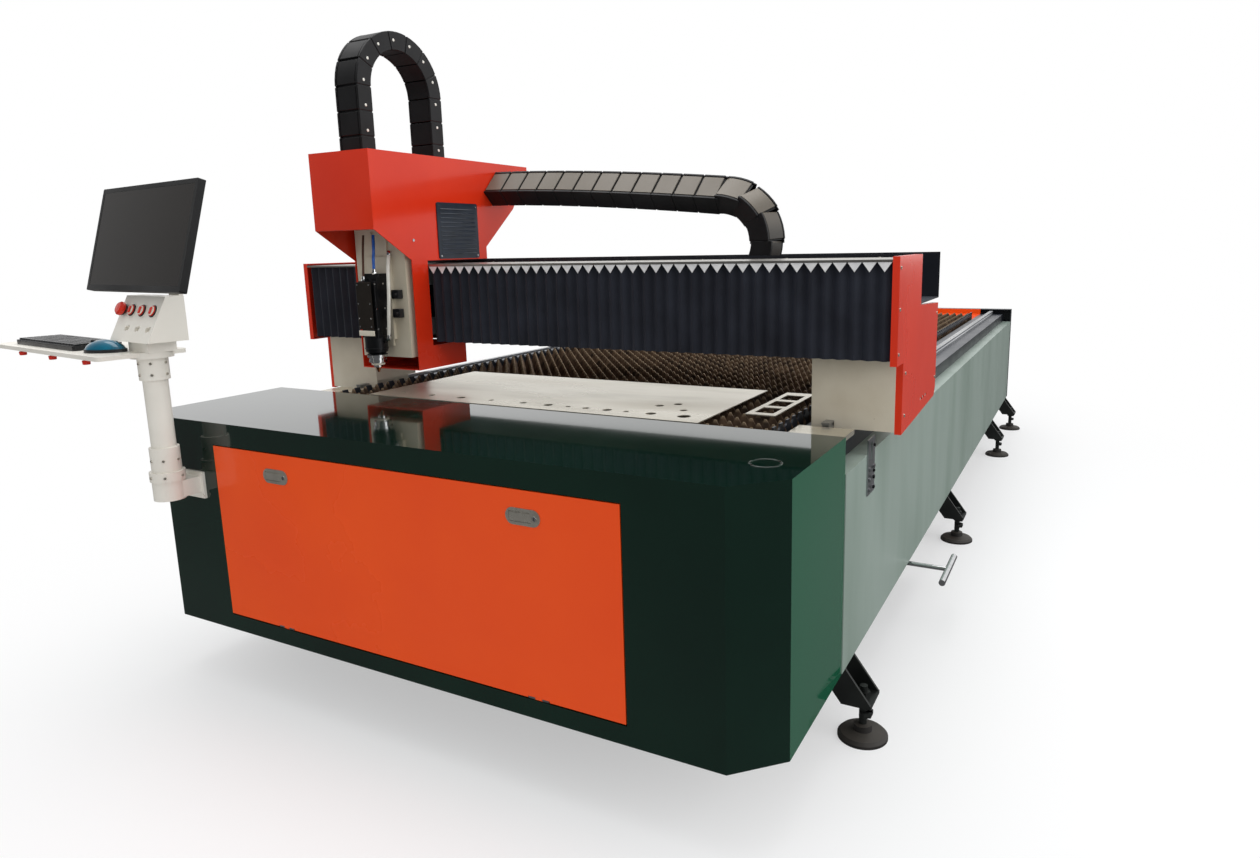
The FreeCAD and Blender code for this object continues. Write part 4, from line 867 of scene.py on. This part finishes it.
# ---- carriage ------------------------------------------------------------------------------
class LASER_OT_carriage_details(bpy.types.Operator):
    """Make the cover screws and louvre blades of the carriage"""

    bl_idname = "laser.carriage_details"
    bl_label = "Carriage details"

    def execute(self, context):
        low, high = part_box("column_cover")
        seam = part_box("head_cover")[1].y
        bm = bmesh.new()
        add_screw(bm, Vector((high.x, seam + 0.014, 1.38)), ACROSS, 5, 2.4)
        add_screw(bm, Vector((low.x, seam + 0.014, 1.38)), -ACROSS, 5, 2.4)
        vent_low, vent_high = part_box("vent_grille")
        for y in (vent_low.y + 0.01, vent_high.y - 0.01):
            for z in (vent_low.z + 0.01, vent_high.z - 0.01):
                add_screw(bm, Vector((vent_high.x, y, z)), ACROSS, 3.6, 1.8)
        piece(bm, "carriage_screws", finish_of("chrome"), "carriage")
        bm = bmesh.new()
        for index in range(LOUVRES):
            z = vent_low.z / MM + 18 + index * LOUVRE_PITCH
            here = Vector((vent_low.x + 2 * MM, (vent_low.y + vent_high.y) / 2, (z + 5) * MM))
            lean = Matrix.Rotation(math.radians(52), 3, REARWARD)
            blade = basis(here, lean @ ACROSS, REARWARD, lean @ UP)
            add_block(bm, (-7, -92, -0.7), (7, 92, 0.7), 0.3, blade)
        piece(bm, "vent_blades", finish_of("louvre"), "carriage")
        return {"FINISHED"}


# ---- cutting head -----------------------------------------------------------------------------
def hose_line(name, route, radius):
    """A smooth line through a hose's route: its points, and the mesh of its tube."""
    curve = bpy.data.curves.new(name, "CURVE")
    curve.dimensions = "3D"
    spline = curve.splines.new("NURBS")
    spline.points.add(len(route) - 1)
    for point, place in zip(spline.points, route):
        point.co = (*place, 1)
    spline.order_u = 3
    spline.use_endpoint_u = True
    spline.resolution_u = 10
    holder = bpy.data.objects.new(name + "_line", curve)
    bpy.context.scene.collection.objects.link(holder)
    line = [v.co.copy() for v in bpy.data.meshes.new_from_object(holder).vertices]
    curve.bevel_depth = radius * MM
    curve.bevel_resolution = 5
    curve.use_fill_caps = True
    mesh = bpy.data.meshes.new_from_object(holder)
    bpy.data.objects.remove(holder)
    return line, mesh


HOSES = {
    "white_hose": ("milk", "hose_white", 6.0, [(-566, 628, 1345), (-562, 612, 1296), (-548, 596, 1246),
                   (-545, 590, 1190), (-552, 590, 1134), (-560, 594, 1084), (-568, 597, 1046)]),
    "blue_hose": ("blue", "hose_blue", 5.0, [(-606, 600, 1400), (-604, 596, 1352), (-607, 592, 1310),
                  (-605, 590, 1270)]),
    "signal_cable": ("jacket", "cable_brown", 4.0, [(-646, 594, 1400), (-650, 590, 1350), (-647, 584, 1300),
                     (-646, 578, 1246)]),
}


class LASER_OT_hoses(bpy.types.Operator):
    """Lay the two hoses and the signal cable of the cutting head"""

    bl_idname = "laser.hoses"
    bl_label = "Head hoses"

    def execute(self, context):
        for node, (kind, slot, radius, points) in HOSES.items():
            route = [at(*p) for p in points]
            line, mesh = hose_line(node, route, radius)
            mesh.materials.append(finish_of(kind))
            mesh.shade_smooth()
            tube = bpy.data.objects.new(node + "_tube", mesh)
            bpy.context.scene.collection.objects.link(tube)
            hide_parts(node)
            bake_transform(tube)
        self.fittings()
        return {"FINISHED"}

    def fittings(self):
        """Crimped ferrules and push-in fittings at the hoses' ends."""
        bm = bmesh.new()
        for node, (kind, slot, radius, points) in HOSES.items():
            end, before = at(*points[-1]), at(*points[-2])
            back = (before - end).normalized()
            add_rod(bm, end - back * 2 * MM, end + back * 16 * MM, radius + 2.2, radius + 1.4, edge=0.5)
            add_rod(bm, end - back * 3 * MM, end + back * 5 * MM, radius + 3.4, segments=6, edge=0.4)
        piece(bm, "hose_fittings", finish_of("chrome"), "height_slide")
        start, after = (at(*p) for p in HOSES["white_hose"][3][:2])
        onward = (after - start).normalized()
        bm = bmesh.new()
        add_rod(bm, start, start + onward * 16 * MM, 8.4, 7.4, edge=0.5)
        piece(bm, "hose_union", finish_of("chrome"), "carriage")


class LASER_OT_head_details(bpy.types.Operator):
    """Make the cutting head's cover, tan band, screws, side plate, grip rings, nozzle parts and sensors"""

    bl_idname = "laser.head_details"
    bl_label = "Cutting head details"

    def execute(self, context):
        low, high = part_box("laser_head")
        x = at(-622, 0, 0).x
        front = low.y
        cover_top, cover_bottom = 1246, 1052
        face = basis(Vector((x, front, 0)), ACROSS, REARWARD, UP)
        bm = bmesh.new()
        add_block(bm, (-35, -2.5, cover_bottom + 30), (35, 0.5, cover_top - 3), 1.2, face)
        piece(bm, "head_front_cover", finish_of("cover"), "height_slide")
        bm = bmesh.new()
        add_block(bm, (-36, -3, cover_bottom + 8), (36, 0.5, cover_bottom + 26), 1, face)
        piece(bm, "head_tan_band", finish_of("plate"), "height_slide")
        bm = bmesh.new()
        for side in (-27, 27):
            for z in (cover_bottom + 40, cover_bottom + 68, cover_bottom + 118, cover_top - 12):
                add_screw(bm, face @ (Vector((side, -2.5, z)) * MM), -REARWARD, 3.2, 1.6)
        for y in (12, 50):
            for z in (cover_bottom + 30, cover_bottom + 100, cover_top - 10):
                add_screw(bm, face @ (Vector((38.5, y, z)) * MM), ACROSS, 3.2, 1.8)
        piece(bm, "head_screws", finish_of("chrome"), "height_slide")
        bm = bmesh.new()
        add_block(bm, (35, 22, cover_bottom + 18), (38.6, 58, cover_top + 14), 1.2, face)
        add_block(bm, (38, 28, cover_bottom + 60), (41, 52, cover_bottom + 96), 1, face)
        piece(bm, "head_side_plate", finish_of("head"), "height_slide")
        bm = bmesh.new()
        for level in (993, 1004, 1015):
            centre = at(-622, 592, level)
            add_ring(bm, centre, UP, 33 + (level - 993) * 0.26, 1.7)
        piece(bm, "head_grip_rings", finish_of("head"), "height_slide")
        self.nozzle()
        self.sensors()
        return {"FINISHED"}

    def nozzle(self):
        """A white ceramic ring and a copper tip under the chrome rings."""
        low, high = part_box("nozzle_stack")
        centre = (low + high) / 2
        tip = Vector((centre.x, centre.y, low.z))
        bm = bmesh.new()
        add_rod(bm, tip + UP * 0.3 * MM, tip + UP * 17 * MM, 3.4, 9.6, edge=0.6)
        piece(bm, "nozzle_tip", finish_of("copper"), "height_slide")
        bm = bmesh.new()
        add_rod(bm, tip + UP * 26.5 * MM, tip + UP * 33 * MM, 22.6, edge=0.8, segments=40)
        piece(bm, "nozzle_ceramic_ring", finish_of("plate"), "height_slide")

    def sensors(self):
        """Black plug housings on the axis housing's face, each with a thumb screw."""
        low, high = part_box("z_housing")
        bm = bmesh.new()
        for z in (1133, 1198):
            here = basis(at(-550, (low.y - at(0, 0, 0).y) / MM, z), ACROSS, REARWARD, UP)
            add_block(bm, (-17, -2, -15), (17, 19.8, 15), 2, here)
            head = here @ (Vector((8, -11, 0)) * MM)
            add_rod(bm, here @ (Vector((8, -2, 0)) * MM), head, 5.5, 5, edge=0.6)
        piece(bm, "limit_sensors", finish_of("abs"), "carriage")


# ---- control arm -----------------------------------------------------------------------------
class LASER_OT_control_details(bpy.types.Operator):
    """Make the button plates and grips, bezels, clamp screws, tray knobs and mouse parts"""

    bl_idname = "laser.control_details"
    bl_label = "Control arm details"

    def execute(self, context):
        outward = -PRESS
        for number in (1, 2, 3):
            bm, caps = bmesh.new(), bmesh.new()
            stem = self.cap_centre("push_button_%d" % number)
            add_rod(bm, stem - outward * 4 * MM, stem + outward * 1.4 * MM, 13.4, 12.8, edge=0.4)
            side = basis(stem + outward * 2 * MM, ARM_AXIS, outward.cross(ARM_AXIS), outward)
            add_block(caps, (-4.4, -10, -1.5), (4.4, 10, 3.4), 1.4, side)
            body = "button_%d" % number
            piece(bm, "button_plate_%d" % number, finish_of("plate"), body)
            piece(caps, "button_grip_%d" % number, finish_of("signal"), body)
        self.bezels(outward)
        self.clamps()
        self.tray()
        self.mouse()
        return {"FINISHED"}

    def cap_centre(self, node):
        """The middle of a button's front face."""
        outward = -PRESS
        points = [v.co for v in frame["nodes"][node].data.vertices]
        far = max(p.dot(outward) for p in points)
        face = [p for p in points if far - p.dot(outward) < 0.0004]
        return sum(face, Vector()) / len(face)

    def bezels(self, outward):
        """Black rings round the buttons, and the base ring of the stop button."""
        bm = bmesh.new()
        for number in (1, 2, 3):
            centre = self.cap_centre("push_button_%d" % number)
            add_ring(bm, centre - outward * 4.2 * MM, outward, 16.2, 2.0)
        add_ring(bm, self.cap_centre("stop_button") - outward * 17.6 * MM, outward, 15, 2.2)
        piece(bm, "button_bezels", finish_of("abs"), "control_arm")

    def clamps(self):
        """Cap screws of the clamp ring, the tube collar and the bracket."""
        bm = bmesh.new()
        for level, radius in ((1012, 39.5), (1045, 39.5), (760, 39.5), (711, 47)):
            for angle in (-150, -95, -40, 20, 90, 160):
                out = Matrix.Rotation(math.radians(angle), 3, "Z") @ ACROSS
                add_screw(bm, POLE + UP * level * MM + out * radius * MM, out, 4, 2.6)
        piece(bm, "arm_clamp_screws", finish_of("alloy"), "control_arm")

    def tray(self):
        """Three turned knobs under the tray's front edge."""
        bm = bmesh.new()
        for x in (-560, -330, -95):
            top = on_arm(x, -132, 1066)
            add_rod(bm, top, top - UP * 5 * MM, 6, segments=16)
            add_rod(bm, top - UP * 5 * MM, top - UP * 17 * MM, 10.5, 9.5, segments=28, edge=1.4)
        piece(bm, "tray_knobs", finish_of("signal"), "control_arm")

    def mouse(self):
        """The mouse's dark skirt and its wheel."""
        low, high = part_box("mouse")
        turn = Matrix.Rotation(ARM_TURN + math.radians(32), 3, "Z")
        centre = Vector(((low.x + high.x) / 2, (low.y + high.y) / 2, low.z))
        place = basis(centre, turn @ ACROSS, turn @ REARWARD, UP)
        bm = bmesh.new()
        made = bmesh.ops.create_cone(bm, cap_ends=True, segments=40, radius1=0.0608, radius2=0.0604,
                                     depth=0.009, matrix=Matrix.Translation((0, 0, 0.0047)))["verts"]
        bmesh.ops.scale(bm, vec=(1, 0.565, 1), verts=made)
        bmesh.ops.transform(bm, matrix=place, verts=made)
        hub = place @ Vector((-0.032, 0, 0.0285))
        side = (turn @ REARWARD) * 4 * MM
        add_rod(bm, hub - side, hub + side, 7, segments=20, edge=0.8)
        piece(bm, "mouse_skirt", finish_of("abs"), "control_arm")


# ---- stage ------------------------------------------------------------------------------------
def floor_material(settings):
    """A plain pale painted floor that fades into the plain surroundings a little way off. Rays reflected off
    gloss faces see it darkened towards near-black: a painted dark reflection.
    """
    material = start_material("pale_painted_floor", ("#EEEFF1", "#F3F4F5"), 2500, (0.5, 0.6), 6, 0.05)
    place = part_of(material, "TexCoord").outputs["Object"]
    near = add_node(material, "Mapping", {"Scale": (1.5, 0.85, 1)}, {"Vector": place})
    away = add_node(material, "VectorMath", links={0: near.outputs[0]}, operation="LENGTH")
    fade = add_node(material, "MapRange",
                    {"From Min": 1.8, "From Max": 4.4, "To Min": 0.45, "To Max": 1.0},
                    {"Value": away.outputs["Value"]}, interpolation_type="SMOOTHSTEP")
    path = add_node(material, "LightPath")
    level = add_node(material, "MapRange", {"To Min": 0.65, "To Max": settings.sky},
                     {"Value": path.outputs["Is Camera Ray"]})
    glow = add_node(material, "Emission", {"Color": (1, 1, 1, 1)}, {"Strength": level.outputs["Result"]})
    shader = part_of(material, "BsdfPrincipled")
    mix = add_node(material, "MixShader", links={0: fade.outputs["Result"], 1: shader.outputs[0],
                                                           2: glow.outputs[0]})
    # Painted dark reflection: for rays reflected off gloss faces the floor turns towards near-black emission.
    dim = add_node(material, "Math", {1: settings.reflected_floor_darkening}, {0: path.outputs["Is Glossy Ray"]},
                   operation="MULTIPLY")
    dark = add_node(material, "Emission", {"Color": (0.02, 0.02, 0.02, 1), "Strength": 1.0})
    shown = add_node(material, "MixShader", links={0: dim.outputs[0], 1: mix.outputs[0],
                                                             2: dark.outputs[0]})
    output = part_of(material, "OutputMaterial")
    material.node_tree.links.new(shown.outputs[0], output.inputs["Surface"])
    return material


class LASER_OT_stage(bpy.types.Operator):
    """Make the camera, the pale floor and the soft light"""

    bl_idname = "laser.stage"
    bl_label = "Stage"

    def execute(self, context):
        settings = stage_settings()
        self.camera(settings)
        bm = bmesh.new()
        bmesh.ops.create_grid(bm, x_segments=1, y_segments=1, size=60)
        mesh = bpy.data.meshes.new("floor")
        bm.to_mesh(mesh)
        bm.free()
        floor = bpy.data.objects.new("floor", mesh)
        mesh.materials.append(floor_material(settings))
        context.scene.collection.objects.link(floor)
        self.light("top_softbox", at(-300, 1500, 5200), at(0, 1400, 0), (5.5, 4.5), settings.key_power)
        self.light("right_softbox", at(5200, 600, 2600), at(900, 1200, 500), (4.0, 3.0), settings.side_power)
        self.surroundings(settings)
        context.scene.view_settings.view_transform = "Standard"
        return {"FINISHED"}

    def camera(self, settings):
        """The camera stands in front of the hood's right corner, a little above head height."""
        yaw, pitch, roll = 0.487, 0.181, -0.021
        ahead = Vector((-math.sin(yaw) * math.cos(pitch), math.cos(yaw) * math.cos(pitch), -math.sin(pitch)))
        level = Vector((math.cos(yaw), math.sin(yaw), 0))
        over = level.cross(ahead)
        side = level * math.cos(roll) + over * math.sin(roll)
        top = over * math.cos(roll) - level * math.sin(roll)
        data = bpy.data.cameras.new("camera")
        data.lens = settings.lens
        data.sensor_width = 36.0
        data.shift_x, data.shift_y = -0.0227, -0.0248
        data.clip_end = 200.0
        camera = bpy.data.objects.new("camera", data)
        camera.matrix_world = basis(at(1584.2, -1487.8, 1342.3), side, top, -ahead)
        bpy.context.scene.collection.objects.link(camera)
        bpy.context.scene.camera = camera

    def light(self, name, place, target, size, power):
        """A large soft panel that faces a point of the machine."""
        data = bpy.data.lights.new(name, "AREA")
        data.shape = "RECTANGLE"
        data.size, data.size_y = size
        data.energy = power
        lamp = bpy.data.objects.new(name, data)
        lamp.matrix_world = basis(place, *self.facing(target - place))
        bpy.context.scene.collection.objects.link(lamp)

    def facing(self, direction):
        """Directions of a lamp whose light leaves along a direction."""
        turn = direction.to_track_quat("-Z", "Y").to_matrix()
        return turn.col[0], turn.col[1], turn.col[2]

    def surroundings(self, settings):
        """Plain white surroundings, greyer in front of the machine so that gloss faces stay dark."""
        world = bpy.data.worlds.new("surroundings")
        bpy.context.scene.world = world
        world.use_nodes = True
        world.node_tree.nodes.clear()
        around = add_node(world, "TexCoord").outputs["Generated"]
        split = add_node(world, "SeparateXYZ", links={"Vector": around})
        level = add_node(world, "MapRange",
                         {"From Min": -0.9, "From Max": 0.3, "To Min": 0.08, "To Max": 0.95},
                         {"Value": split.outputs["Y"]}, interpolation_type="SMOOTHSTEP")
        path = add_node(world, "LightPath")
        fill = add_node(world, "Math", {1: settings.fill}, {0: path.outputs["Is Diffuse Ray"]},
                        operation="MULTIPLY")
        lifted = add_node(world, "Math", links={0: level.outputs["Result"], 1: fill.outputs[0]},
                          operation="MAXIMUM")
        shown = add_node(world, "Math", links={0: lifted.outputs[0], 1: path.outputs["Is Camera Ray"]},
                         operation="MAXIMUM")
        glow = add_node(world, "Background", {"Color": (1, 1, 1, 1)}, {"Strength": shown.outputs[0]})
        add_node(world, "OutputWorld", links={"Surface": glow.outputs["Background"]})


# ---- panel ---------------------------------------------------------------------------------
OPERATORS = (LASER_OT_stage, LASER_OT_hoses, LASER_OT_finishes, LASER_OT_hood_trim, LASER_OT_bed_hardware,
             LASER_OT_bellows, LASER_OT_beam_hardware, LASER_OT_cross_chain, LASER_OT_height_chain,
             LASER_OT_carriage_details, LASER_OT_head_details, LASER_OT_control_details)
GROUPS = {"laser_chain": ChainSettings, "laser_bellows": BellowsSettings, "laser_stage": StageSettings}


class LASER_PT_sidebar(bpy.types.Panel):
    """Lists the machine's settings and pieces"""

    bl_idname = "LASER_PT_sidebar"
    bl_label = "Laser Cutter"
    bl_space_type = "VIEW_3D"
    bl_region_type = "UI"
    bl_category = "Laser Cutter"

    def draw(self, context):
        for name, group in GROUPS.items():
            for key in group.__annotations__:
                self.layout.prop(getattr(context.scene, name), key)
        for operator in OPERATORS:
            self.layout.operator(operator.bl_idname)


def register():
    """Adds the settings, operators and panel."""
    for name, group in GROUPS.items():
        bpy.utils.register_class(group)
        setattr(bpy.types.Scene, name, bpy.props.PointerProperty(type=group))
    for kind in (*OPERATORS, LASER_PT_sidebar):
        bpy.utils.register_class(kind)


def unregister():
    """Takes the settings, operators and panel away again."""
    for kind in (LASER_PT_sidebar, *reversed(OPERATORS)):
        bpy.utils.unregister_class(kind)
    for name, group in GROUPS.items():
        delattr(bpy.types.Scene, name)
        bpy.utils.unregister_class(group)


def main():
    """Adds the settings, operators and panel, and builds every piece in order."""
    register()
    for operator in OPERATORS:
        group, name = operator.bl_idname.split(".")
        getattr(getattr(bpy.ops, group), name)()


if __name__ == "__main__":
    main()
